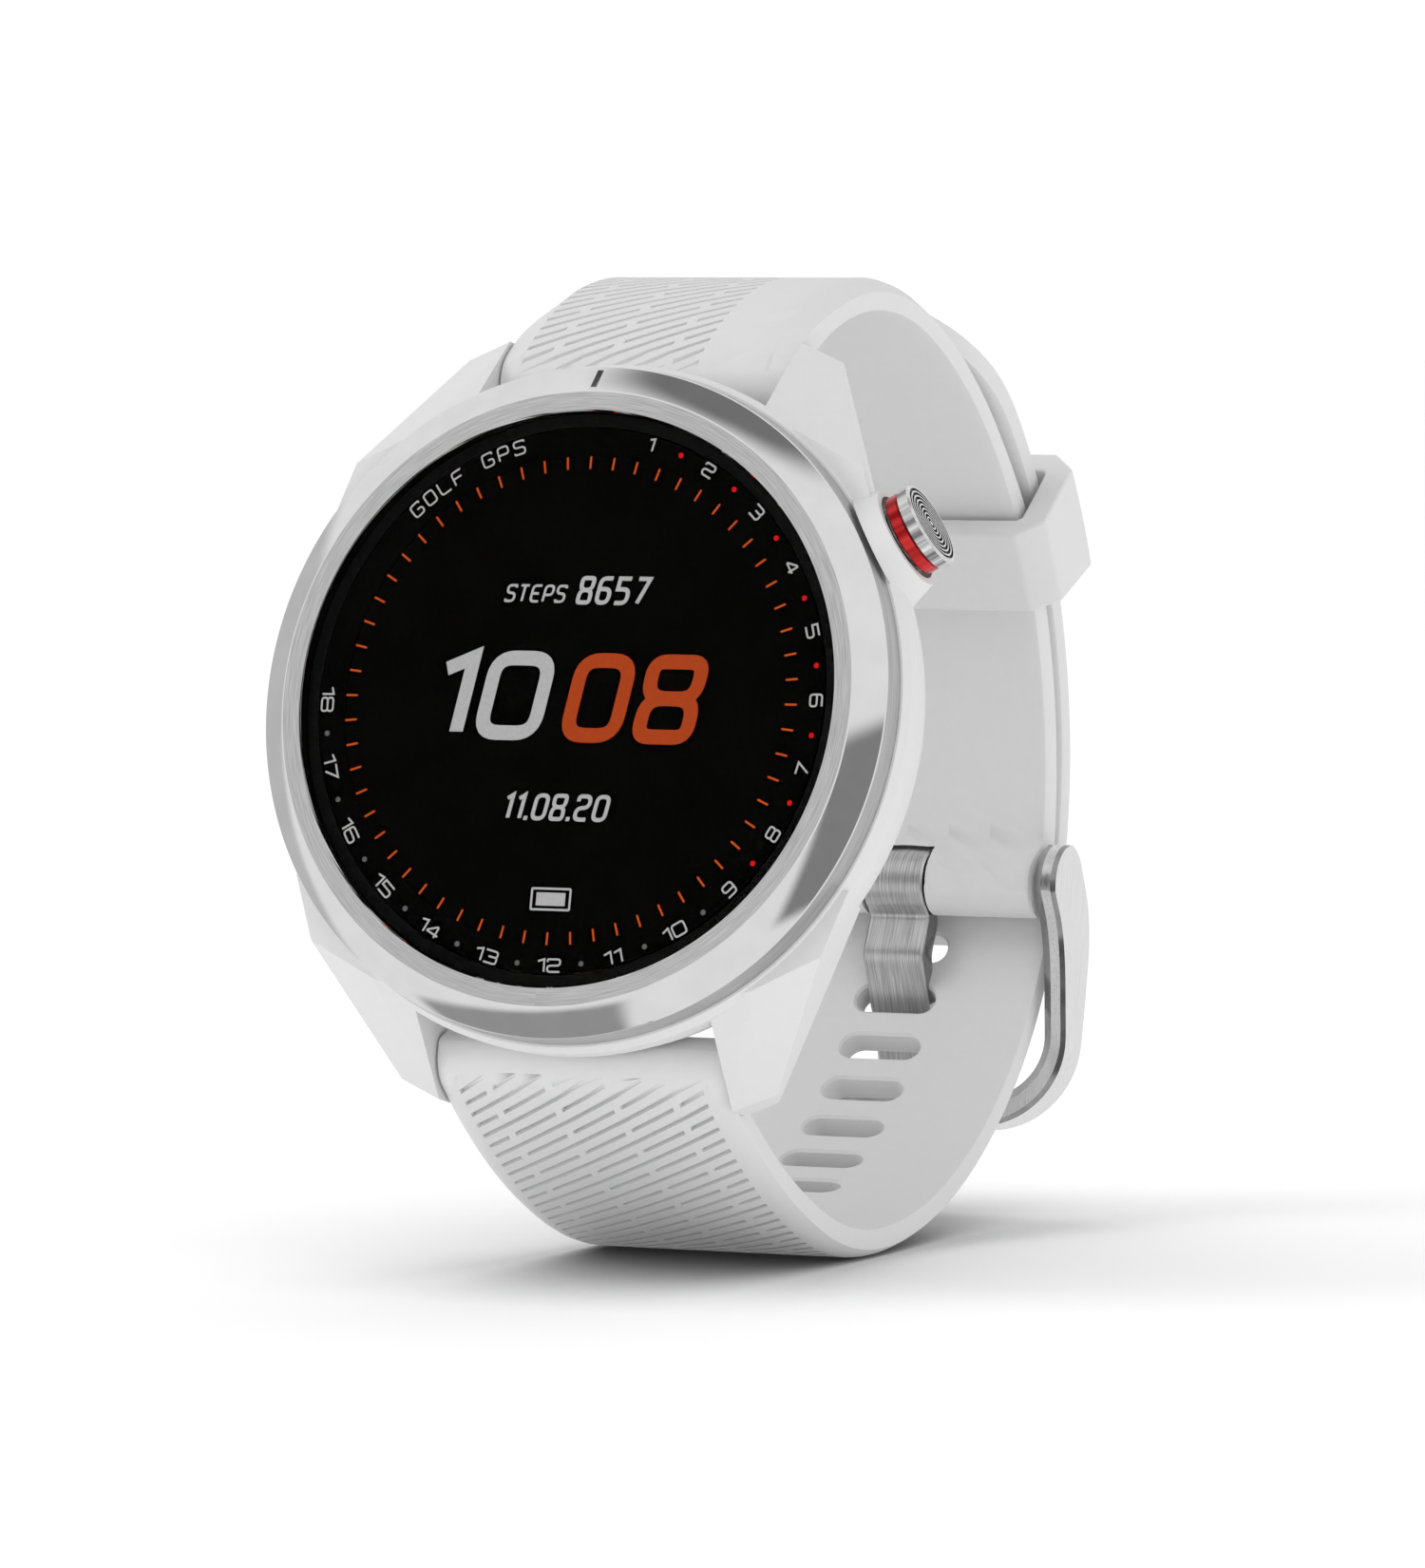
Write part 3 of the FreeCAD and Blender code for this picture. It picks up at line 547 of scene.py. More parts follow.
class Section:
    """The strap's cross-section as one closed ring of points.

    kind is 0 on the outer face, 1 on its shoulders, 2 on the inner rounding, 3 on the inner face."""

    def __init__(self, columns, shape):
        edge = len(EDGE_STEPS)
        soft = len(SOFT_TURNS)
        blank = np.zeros(len(columns))
        inner = np.zeros(len(INNER_COLUMNS))
        self.columns = columns
        self.shape = shape
        self.step = np.concatenate([blank, EDGE_STEPS, np.zeros(soft), inner, np.zeros(soft),
                                    EDGE_STEPS[::-1]])
        self.turn = np.concatenate([blank, np.zeros(edge), SOFT_TURNS, inner, SOFT_TURNS[::-1],
                                    np.zeros(edge)])
        self.kind = np.array([0] * len(columns) + [1] * edge + [2] * soft + [3] * len(inner)
                             + [2] * soft + [1] * edge)
        right = edge + soft
        self.base = np.concatenate([columns, np.full(right, STRAP_HALF), INNER_COLUMNS,
                                    np.full(right, -STRAP_HALF)])
        self.side = np.sign(self.base)

    def place(self, s, outer, inner, into, reach, thick, groove=0.0, width=1.0):
        """Ring points from the side-plane points and inward directions of each of its columns."""
        flat, power, drop, soft = self.shape(s)
        x = np.where(self.kind == 1, self.side * (flat + (STRAP_HALF - flat) * self.step), self.base)
        x = np.where(self.kind == 2, self.side * (STRAP_HALF - soft * (1 - np.cos(self.turn))), x)
        depth = np.where(self.kind == 1, drop * self.step ** power, 0.0)
        depth[:len(self.columns)] += groove
        lift = np.where(self.kind == 2, soft * (1 - np.sin(self.turn)), 0.0)
        scale = np.clip(reach / thick, 0, 1)
        from_outer = outer + into * (depth * scale)[:, None]
        from_inner = inner - into * (lift * scale)[:, None]
        flat_side = np.where((self.kind >= 2)[:, None], from_inner, from_outer)
        return np.column_stack([x * width, flat_side])


def end_stations(centre, radius, path, tangent, sign, thick):
    """Outer and inner side-plane points of the rows that wrap a strap's end round a bar.

    They run from the strap, END_REACH from the tangent point, to the barrel's far side."""
    centre = np.array(centre)
    normal = path.at([tangent])[1][0]
    along = path.at([tangent + sign * 0.5])[0][0] - path.at([tangent])[0][0]
    along /= np.linalg.norm(along)
    walk = path.at(tangent + sign * np.linspace(END_REACH, 0, END_STEPS))[0]
    turns = np.radians(np.linspace(0, 90, BARREL_STEPS + 1)[1:])[:, None]
    outer = np.vstack([walk, centre + radius * (np.cos(turns) * normal - np.sin(turns) * along)])
    flat = path.at(tangent + sign * np.array([END_REACH, 0.78 * END_REACH]), thick)[0]
    corner = path.at([tangent + sign * 0.6 * END_REACH], thick + 0.12)[0]
    turns = np.radians([48, 70, 90, 112, 135, 158, 180])[:, None]
    back = centre + radius * (np.cos(turns) * along - np.sin(turns) * normal)
    return outer, spline(np.vstack([flat, corner, back]), len(outer))


def end_rows(section, stations, s, thick):
    """The plain rings round a strap's end, beyond the grooved rows."""
    rows = []
    size = len(section.base)
    for outer, inner in zip(*stations):
        gap = np.linalg.norm(inner - outer)
        into = (inner - outer) / max(gap, 1e-6)
        rows.append(section.place(np.full(size, s), np.tile(outer, (size, 1)), np.tile(inner, (size, 1)),
                                  np.tile(into, (size, 1)), np.full(size, gap), thick))
    return rows[END_STEPS - 1 + GROOVED_STEPS:]


def faces_at(path, s, thick, start, finish, radii):
    """Outer and inner side-plane points and outward directions, thickened towards both ends.

    Beyond the tangent points, where s runs out of the path, they follow the barrels."""
    outer, normal = path.at(np.clip(s, 0, path.length))
    inner = path.at(np.clip(s, 0, path.length), thick)[0]
    ends = [(s, start, radii[0])]
    if finish:
        ends.append((path.length - s, finish, radii[1]))
    for distance, stations, radius in ends:
        walk = np.clip((END_REACH - distance) / END_REACH, 0, 1) * (END_STEPS - 1)
        wrap = np.clip(-distance, 0, None) / (radius * math.pi / 2) * BARREL_STEPS
        place = walk + wrap
        low = np.minimum(place.astype(int), len(stations[0]) - 2)
        part = (place - low)[:, None]
        bent = [line[low] * (1 - part) + line[low + 1] * part for line in stations]
        near = (distance < END_REACH)[:, None]
        outer = np.where((distance < 0)[:, None], bent[0], outer)
        inner = np.where(near, bent[1], inner)
    return outer, inner, normal


def groove_rows(low, high, textured_to):
    """Row positions along the strap, each with its groove number and whether it lies in the groove."""
    rows = []
    lean = GROOVE_SLOPE * STRAP_HALF
    number = math.floor((low - lean) / GROOVE_PITCH) - 1
    while number * GROOVE_PITCH < high + lean + GROOVE_PITCH:
        base = number * GROOVE_PITCH
        steps = PLAIN_ROWS if base > textured_to + lean else GROOVE_ROWS
        rows += [(base + offset, number, deep) for offset, deep in steps]
        number += 1
    return rows


def strap_mesh(name, path, section, thick, gaps, texture, lean, radii, start, finish=None, width=None):
    """A strap swept along its path; its rows lean with the grooves and are clipped at both ends.

    texture is where the grooves end along the path, and their right-hand limit; radii are those of
    the round ends."""
    columns = section.columns
    reach = [radius * math.pi / 2 * GROOVED_STEPS / BARREL_STEPS - END_SKIRT for radius in radii]
    low = -reach[0]
    high = path.length + (reach[1] if finish else 0.0)
    rings = end_rows(section, start, low, thick)[::-1]
    for base, number, deep in groove_rows(low, high, texture[0]):
        s = np.clip(base + lean * GROOVE_SLOPE * section.base, low, high)
        tip = 0.0 if finish else round_tip(s, path.length)[:, None]
        outer, inner, normal = faces_at(path, s, thick, start, finish, radii)
        deep_by = np.linalg.norm(inner - outer, axis=1)
        into = (inner - outer) / deep_by[:, None]
        over = s[:len(columns)]
        fade = smooth_step(over, TEXTURE_START, TEXTURE_START + FADE_IN)
        fade = fade * (1 - smooth_step(over, texture[0] - FADE_OUT, texture[0]))
        on = (columns > WALL / 2 - TEXTURE_HALF) & (columns < texture[1] - WALL / 2)
        if number % 2 == 0:
            for gap in gaps:
                on &= abs(columns - gap) > GAP_HALF + WALL / 2
        groove = GROOVE_DEPTH * deep * fade * on
        rings.append(section.place(s, outer - normal * tip, inner + normal * tip, into, deep_by, thick,
                                   groove, width(s) if width else 1.0))
    if finish:
        rings += end_rows(section, finish, high, thick)
    points = np.array(rings)
    faces = capped_faces(*points.shape[:2])
    return tidy_mesh(add_mesh(name, points.reshape(-1, 3), faces, [SILICONE]), SHARP)


def round_tip(s, length, radius=0.85):
    """How far each face moves in at the tail's rounded tip."""
    t = np.clip((s - (length - radius)) / radius, 0, 0.999)
    return radius * (1 - np.sqrt(1 - t ** 2))


UPPER = Path(UPPER_CHAIN)
LOWER = Path(LOWER_CHAIN)


def upper_shape(s):
    """Flat half-width, shoulder power, shoulder drop and inner rounding of the upper strap."""
    flat = 8.25 + 0.4 * smooth_step(s, 4, 12)
    drop = 0.35 + 0.58 * smooth_step(s, 0, 9) - 0.6 * smooth_step(s, 38, 52)
    return flat, 1.15, drop, np.full(len(s), 0.4)


def lower_shape(s):
    """The same values for the lower strap, which keeps one section."""
    return np.full(len(s), TEXTURE_HALF), 2.2, np.full(len(s), 0.55), np.full(len(s), 0.35)


def stadium(grow):
    """A slot's outline, as across and along offsets, grown by an amount."""
    half = SLOT_R + grow
    reach = SLOT_LENGTH / 2 - SLOT_R
    turns = np.linspace(-90, 90, 17)
    right = [(reach + half * math.cos(math.radians(t)), half * math.sin(math.radians(t))) for t in turns]
    return right + [(-x, -z) for x, z in right]


def slot_cutter(s):
    """A flared punch square to the lower strap, for a slot with chamfered rims."""
    rim = 0.16
    past = 0.6
    layers = [(-past, past + rim), (rim, 0.0), (LOWER_THICK - rim, 0.0), (LOWER_THICK + past, past + rim)]
    point, normal = LOWER.at([s])
    point, normal = point[0], normal[0]
    along = np.array([-normal[1], normal[0]])
    points = []
    for depth, grow in layers:
        for x, z in stadium(grow):
            side = point - normal * depth + along * z
            points.append((x, side[0], side[1]))
    return tidy_mesh(add_mesh("cutter", points, capped_faces(len(layers), len(stadium(0)))))


def tail_width(s):
    """The tail narrows to a rounded tip over its last 24 degrees."""
    taper = math.radians(24) * TAIL_R
    t = np.clip((s - (LOWER.length - taper)) / taper, 0, 0.999)
    return (1 - t ** 2.5) ** 0.5


def release_cutter(z):
    """The opening in a strap's wrist side for the release lever's knob."""
    return box_cutter((4.3, BAR_Y, z - 0.75), (7.5, BAR_Y + 3, z + 0.75))


def bar_cutter(z):
    return rod_cutter(BAR_HOLE_R, 12, BAR_Y, z)


def upper_strap():
    """The 12 o'clock strap: grooved on its left, smooth on its right, rolled round bar and pin."""
    gaps = (-6.3, -2.3, 1.7)
    right = 3.75
    section = Section(outer_columns(gaps, right), upper_shape)
    start = end_stations((BAR_Y, BAR_Z), BARREL_R, UPPER, 0.0, 1, UPPER_THICK)
    finish = end_stations(PIN, PIN_R, UPPER, UPPER.length, -1, UPPER_THICK)
    obj = strap_mesh("upper_strap_soft", UPPER, section, UPPER_THICK, gaps, (46.0, right), 1,
                     (BARREL_R, PIN_R), start, finish)
    notch = rod_cutter(PIN_R + 0.25, TONGUE_HALF + 0.2, *PIN)
    cut_away(obj, [notch, release_cutter(BAR_Z), bar_cutter(BAR_Z), rod_cutter(BAR_HOLE_R, 12, *PIN)])
    tidy_mesh(obj, SHARP)
    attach(obj, "upper_band")
    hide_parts("upper_strap")


def lower_strap():
    """The 6 o'clock strap with its slots, curving from the case's lower bar round to its tail."""
    gaps = (-6.3, -2.15, 2.0, 6.15)
    section = Section(outer_columns(gaps, TEXTURE_HALF), lower_shape)
    start = end_stations((BAR_Y, -BAR_Z), BARREL_R, LOWER, 0.0, 1, LOWER_THICK)
    obj = strap_mesh("lower_strap_soft", LOWER, section, LOWER_THICK, gaps, (36.0, TEXTURE_HALF), -1,
                     (BARREL_R, BARREL_R), start, width=tail_width)
    rear = LOWER.where(3, SLOT_ANGLE)
    cutters = [slot_cutter(rear + step * SLOT_PITCH) for step in SLOTS]
    cut_away(obj, cutters + [release_cutter(-BAR_Z), bar_cutter(-BAR_Z)])
    tidy_mesh(obj, SHARP)
    start, end = to_row([(0, 22, -33), (0, 52, -20)])
    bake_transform(obj)
    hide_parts("lower_strap")


# ---- buckle and keeper ----
KEEPER_ANGLE = 41.3
KEEPER_SPAN = 12.0
KEEPER_WALL = 1.8
KEEPER_GAP = 0.35
KEEPER_CORNER = 1.7


def keeper():
    """The free loop: a chamfered ring round strap and tail, swept along the band."""
    inner = (STRAP_HALF + 0.4, UPPER_R - UPPER_THICK - KEEPER_GAP, TAIL_R + KEEPER_GAP, 0.3)
    outer = (inner[0] + KEEPER_WALL, inner[1] - KEEPER_WALL, inner[2] + KEEPER_WALL, KEEPER_CORNER)
    rings = []
    for half, low, high, corner in (outer, inner):
        right = [(half - corner, low), (half, low + corner), (half, high - corner), (half - corner, high)]
        rings.append(right + [(-x, r) for x, r in reversed(right)])
    points = []
    steps = 25
    for angle in np.linspace(KEEPER_ANGLE - KEEPER_SPAN / 2, KEEPER_ANGLE + KEEPER_SPAN / 2, steps):
        for ring in rings:
            points += [(x, *polar(LOOP, r, angle)) for x, r in ring]
    size = 8
    faces = []
    for row in range(steps - 1):
        for first in (0, size):
            a = row * 2 * size + first
            for i in range(size):
                j = (i + 1) % size
                faces.append((a + i, a + j, a + 2 * size + j, a + 2 * size + i))
    for row in (0, steps - 1):
        a = row * 2 * size
        faces += [(a + i, a + (i + 1) % size, a + size + (i + 1) % size, a + size + i) for i in range(size)]
    obj = tidy_mesh(add_mesh("keeper_loop", points, faces, [SILICONE]))
    round_edges(obj, 0.45, 4, 25)
    tidy_mesh(obj, 40)
    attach(obj, "keeper")
    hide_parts("keeper")


FRAME_HALF = 11.9            # half of the U's width
FRAME_BOTTOM = -18.6
FRAME_REACH = 2.75           # radius of the arms' heads round the pin
FRAME_CORNER = 6.0
FRAME_WALL = 1.7
FRAME_FRONT = [(52.72, -3.36), (54.35, -5.3), (55.4, -7.5), (56.25, -10.6), (56.9, -13.8), (57.2, -19.6)]
FRAME_REAR = [(57.4, -0.76), (59.2, -3.2), (60.05, -5.7), (60.2, -8.5), (60.15, -12.5), (59.9, -19.6)]
BLADE_FRONT = [(54.5, -4.6), (55.0, -5.05), (54.75, -6.2), (54.45, -7.7), (55.3, -9.2),
               (56.35, -10.75), (57.6, -12.6), (59.15, -15.6), (59.3, -17.7)]
BLADE_REAR = [(56.2, -3.75), (56.75, -5.2), (56.55, -6.2), (56.3, -7.5), (56.9, -8.8),
              (58.0, -10.4), (59.2, -12.3), (60.35, -15.2), (60.45, -17.7)]


def frame_depths():
    """Front and rear faces of the buckle frame as y over z, round at the pin."""
    faces = []
    for points, turns in ((FRAME_FRONT, np.linspace(90, 196, 30)), (FRAME_REAR, np.linspace(90, 42, 20))):
        round_top = np.array([polar(PIN, FRAME_REACH, t) for t in turns])
        low = spline(points, 60)
        line = np.vstack([round_top, low])
        order = np.argsort(line[:, 1])
        faces.append(line[order])
    return faces


def frame_path():
    """The U in plan, as outer points and outward directions, from the left arm's top round."""
    corner = FRAME_CORNER
    top = PIN[1] + FRAME_REACH
    low = FRAME_BOTTOM + corner
    heights = top - (top - low) * np.linspace(0, 1, 44) ** 1.6
    left = [((-FRAME_HALF, z), (-1.0, 0.0)) for z in heights]
    turns = np.radians(np.linspace(180, 270, 17)[1:-1])
    centre = (-FRAME_HALF + corner, low)
    left += [((centre[0] + corner * math.cos(t), centre[1] + corner * math.sin(t)),
              (math.cos(t), math.sin(t))) for t in turns]
    left += [((x, FRAME_BOTTOM), (0.0, -1.0)) for x in np.linspace(centre[0], 0, 6)[:-1]]
    right = [((-p[0], p[1]), (-n[0], n[1])) for p, n in reversed(left)]
    return left + [((0.0, FRAME_BOTTOM), (0.0, -1.0))] + right


def buckle_frame():
    """The U-shaped frame: one chamfered section swept round the arms and the far bar."""
    front, rear = frame_depths()
    points = []
    path = frame_path()
    for (x, z), (nx, nz) in path:
        wall = FRAME_WALL + 0.3 * abs(nz)
        y_front = np.interp(z, front[:, 1], front[:, 0])
        y_rear = np.interp(z, rear[:, 1], rear[:, 0])
        deep = max(y_rear - y_front, 0.01)
        bevel = min(0.75, deep * 0.35)
        edge = min(0.28, deep * 0.2)
        shape = [(0, y_front + edge), (edge, y_front), (wall - bevel, y_front), (wall, y_front + bevel),
                 (wall, y_rear - edge), (wall - edge, y_rear), (edge, y_rear), (0, y_rear - edge)]
        points += [(x - nx * o, y, z - nz * o) for o, y in shape]
    kinds = [1, 0] * (len(shape) // 2) * (len(path) - 1) + [0, 0]
    faces = capped_faces(len(path), len(shape))
    obj = tidy_mesh(add_mesh("buckle_frame_steel", points, faces, [FRAME_STEEL, POLISHED], kinds), 24)
    rest = box_cutter((-TONGUE_HALF - 0.3, 59.2, FRAME_BOTTOM - 1), (TONGUE_HALF + 0.3, 64, -14))
    cut_away(obj, [rod_cutter(PIN_HOLE_R, 11.35, *PIN), rest])
    tidy_mesh(obj, 24)
    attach(obj, "buckle_frame")
    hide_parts("buckle_frame")


def buckle_tongue():
    """The tongue: a strip rolled round the pin, then waved through the slot to the far bar."""
    turns = np.linspace(-62, 236, 50)
    roll_out = np.array([polar(PIN, PIN_R, t) for t in turns])
    roll_in = np.array([polar(PIN, PIN_HOLE_R, t) for t in turns])
    outer = np.vstack([roll_out, spline(BLADE_FRONT, 60)])
    inner = np.vstack([roll_in, spline(BLADE_REAR, 60)])
    points = []
    edge = 0.14
    for o, i in zip(outer, inner):
        into = (i - o) / np.linalg.norm(i - o) * edge
        shape = [(-TONGUE_HALF, o + into), (-TONGUE_HALF + edge, o), (TONGUE_HALF - edge, o),
                 (TONGUE_HALF, o + into), (TONGUE_HALF, i - into), (TONGUE_HALF - edge, i),
                 (-TONGUE_HALF + edge, i), (-TONGUE_HALF, i - into)]
        points += [(x, p[0], p[1]) for x, p in shape]
    kinds = [0, 0, 0, 1] * (len(shape) // 4) * (len(outer) - 1) + [0, 0]
    faces = capped_faces(len(outer), len(shape))
    obj = tidy_mesh(add_mesh("buckle_tongue_steel", points, faces, [BRUSHED, POLISHED], kinds), 30)
    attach(obj, "buckle_tongue")
    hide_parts("buckle_tongue")


# ---- head ----
RING_Y = -0.56               # the bezel's flat front ring
LENS_Y = -0.62
LENS_BACK = 0.37
LENS_R = 17.9


def bezel():
    """Brushed front ring, polished chamfer and brushed side wall, with the notch at 12 o'clock."""
    ring, chamfer, wall, hidden = 0, 1, 2, 3
    profile = [(17.94, -0.44, chamfer), (18.02, RING_Y, ring), (19.14, RING_Y, chamfer),
               (19.24, -0.53, chamfer), (20.93, 0.72, chamfer), (20.99, 0.82, wall), (21.1, 2.5, wall),
               (17.05, 2.5, hidden), (17.05, 0.62, hidden), (17.94, 0.62, hidden)]
    obj = turned("bezel_steel", profile, [FACE_STEEL, CHAMFER_STEEL, SIDE_STEEL, BLACK], 512)
    slope = math.atan2(1.33, 1.78)       # of the chamfer that the notch is cut in
    mark = []
    for x in (-0.2, 0.2):
        for along, deep in ((0.35, -0.4), (1.9, -0.4), (1.9, 0.45), (0.35, 0.45)):
            mark.append((x, RING_Y + along * math.sin(slope) + deep * math.cos(slope),
                         19.2 + along * math.cos(slope) - deep * math.sin(slope)))
    faces = [(0, 1, 2, 3), (7, 6, 5, 4)] + [(i, (i + 1) % 4, 4 + (i + 1) % 4, 4 + i) for i in range(4)]
    cutter = tidy_mesh(add_mesh("cutter", mark, faces, [SIDE_STEEL]))
    cut_away(obj, [cutter])
    tidy_mesh(obj, 20)
    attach(obj, "case")
    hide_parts("bezel_ring")


def lens():
    """The cover glass, with a bevel at its rim."""
    profile = [(0.0, LENS_Y), (17.42, LENS_Y), (17.5, -0.605), (17.86, -0.44), (LENS_R, -0.38),
               (LENS_R, LENS_BACK), (0.0, LENS_BACK)]
    obj = turned("lens_glass", profile, [GLASS], 256)
    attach(obj, "case")
    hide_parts("lens")


# ---- button ----
CAP_R = 2.72
CAP_BACK = 23.55             # distances from the dial's centre, along the button
CAP_FRONT = 24.4
CAP_RINGS = 8
CAP_RING_STEP = 0.3
COLLAR_R = 2.64
COLLAR_BACK = 22.72
COLLAR_FRONT = 23.5


def button_cap():
    """Polished cap with grooves turned into its face; the grooves are coloured dark as painted shade, and
    the side wall's streaks are painted reflections.
    """
    # The groove faces take the painted shade, the side wall the painted reflections.
    face, groove, side = 0, 1, 2
    floor_at = CAP_FRONT - 0.16
    profile = [(0.0, CAP_BACK, side), (CAP_R - 0.06, CAP_BACK, side), (CAP_R, CAP_BACK + 0.06, side),
               (CAP_R, CAP_FRONT - 0.12, face), (CAP_R - 0.12, CAP_FRONT, face)]
    step = CAP_RING_STEP
    for i in range(CAP_RINGS):
        edge = 2.46 - i * step
        profile += [(edge, CAP_FRONT, groove), (edge - step * 0.12, floor_at, groove),
                    (edge - step * 0.5, floor_at, groove), (edge - step * 0.62, CAP_FRONT, face)]
    profile.append((0.0, CAP_FRONT, face))
    obj = turned("button_cap_steel", profile, [CAP_STEEL, CAP_GROOVE_SHADE, CAP_SIDE_REFLECTIONS], 128, button=True)
    tidy_mesh(obj, 24)
    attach(obj, "button")
    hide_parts("button_cap")


def button_collar():
    """The red ring under the cap, bored for the stem; its colour runs from dark to bright round the button
    as painted shade and painted highlight.
    """
    bore, edge = 0.9, 0.06
    profile = [(bore, COLLAR_BACK), (COLLAR_R - edge, COLLAR_BACK), (COLLAR_R, COLLAR_BACK + edge),
               (COLLAR_R, COLLAR_FRONT - edge), (COLLAR_R - edge, COLLAR_FRONT), (bore, COLLAR_FRONT)]
    obj = turned("button_collar_red", profile, [RED_WITH_PAINTED_SHADE], 128, button=True)
    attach(obj, "button")
    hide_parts("button_collar")


# ---- dial ----
GLYPH_WIDTH = 0.74           # a letter's width and the gap after it, as shares of its height
LETTER_GAP = 0.12
NARROW = {"1": 0.42, ".": 0.13, " ": 0.4}
INK_Y = 0.35
RIM_TEXT = 16.5              # radius of the numbers round the dial
TICK_IN = 14.46
TICK_OUT = 15.24
SLANT = 0.2
TIME_SLANT = 0.17
LIT_WHITE = (0.44, 0.44, 0.44)
LIT_ORANGE = (0.40, 0.055, 0.012)
LIT_TICKS = (0.58, 0.085, 0.013)
LIT_RED = (0.62, 0.008, 0.008)
LIT_GREY = (0.12, 0.12, 0.12)

# Each letter's strokes as corners in a unit cell.  A third value keeps a corner sharp.
STROKES = {
    "0": [[(0, .5), (0, 1), (1, 1), (1, 0), (0, 0), (0, .5)]],
    "1": [[(0, .84), (1, 1, 0), (1, 0)]],
    "2": [[(0, .78), (0, 1), (1, 1), (1, .52), (0, .48), (0, 0), (1, 0)]],
    "3": [[(0, 1), (1, 1), (1, .52), (.3, .52)], [(1, .5), (1, 0), (0, 0)]],
    "4": [[(.75, 0), (.75, 1), (0, .32), (0, .24), (1, .24)]],
    "5": [[(1, 1), (0, 1, 0), (0, .56, 0), (1, .56), (1, 0), (0, 0)]],
    "6": [[(1, 1), (0, 1), (0, 0), (1, 0), (1, .56), (0, .56)]],
    "7": [[(0, 1), (1, 1, 0), (.35, 0)]],
    "8": [[(.5, 1), (1, 1), (1, .51), (0, .51), (0, 1), (.5, 1)],
          [(.5, 0), (1, 0), (1, .51), (0, .51), (0, 0), (.5, 0)]],
    "9": [[(0, 0), (1, 0), (1, 1), (0, 1), (0, .46), (1, .46)]],
    "G": [[(1, .82), (1, 1), (0, 1), (0, 0), (1, 0), (1, .48), (.5, .48)]],
    "O": [[(0, .5), (0, 1), (1, 1), (1, 0), (0, 0), (0, .5)]],
    "L": [[(0, 1), (0, 0), (1, 0)]],
    "F": [[(1, 1), (0, 1), (0, 0)], [(0, .5), (.85, .5)]],
    "P": [[(0, 0), (0, 1), (1, 1), (1, .42), (0, .42)]],
    "S": [[(1, .85), (1, 1), (0, 1), (0, .53), (1, .5), (1, 0), (0, 0), (0, .15)]],
    "T": [[(0, 1), (1, 1)], [(.5, 1), (.5, 0)]],
    "E": [[(1, 1), (0, 1), (0, 0), (1, 0)], [(0, .5), (.85, .5)]],
    ".": [[(.5, -.08), (.5, .1)]],
}


def rounded(points, radius):
    """A path with its corners rounded, but for those marked sharp by a third value."""
    out = [np.array(points[0][:2], float)]
    for before, here, after in zip(points, points[1:], points[2:]):
        if len(here) > 2:
            out.append(np.array(here[:2], float))
            continue
        here = np.array(here, float)
        a = np.array(before[:2], float) - here
        b = np.array(after[:2], float) - here
        cut = min(radius, np.linalg.norm(a) / 2, np.linalg.norm(b) / 2)
        start = here + a / np.linalg.norm(a) * cut
        end = here + b / np.linalg.norm(b) * cut
        for t in np.linspace(0, 1, 7):
            out.append((1 - t) ** 2 * start + 2 * t * (1 - t) * here + t * t * end)
    out.append(np.array(points[-1][:2], float))
    return np.array(out)


def stroke_faces(path, width):
    """A flat ribbon along a path: points and quads."""
    steps = np.diff(path, axis=0)
    keep = np.concatenate([[True], np.linalg.norm(steps, axis=1) > 1e-6])
    path = path[keep]
    steps = np.diff(path, axis=0)
    steps /= np.linalg.norm(steps, axis=1)[:, None]
    tangent = np.vstack([steps[:1], (steps[:-1] + steps[1:]) / 2, steps[-1:]])
    closed = np.linalg.norm(path[0] - path[-1]) < 1e-6
    if closed:
        tangent[0] = tangent[-1] = (steps[0] + steps[-1]) / 2
    length = np.linalg.norm(tangent, axis=1)[:, None]
    normal = np.stack([-tangent[:, 1], tangent[:, 0]], 1) / length ** 2
    left = path + normal * width / 2
    right = path - normal * width / 2
    points = np.stack([left, right], 1).reshape(-1, 2)
    faces = [(2 * i, 2 * i + 1, 2 * i + 3, 2 * i + 2) for i in range(len(path) - 1)]
    return points, faces


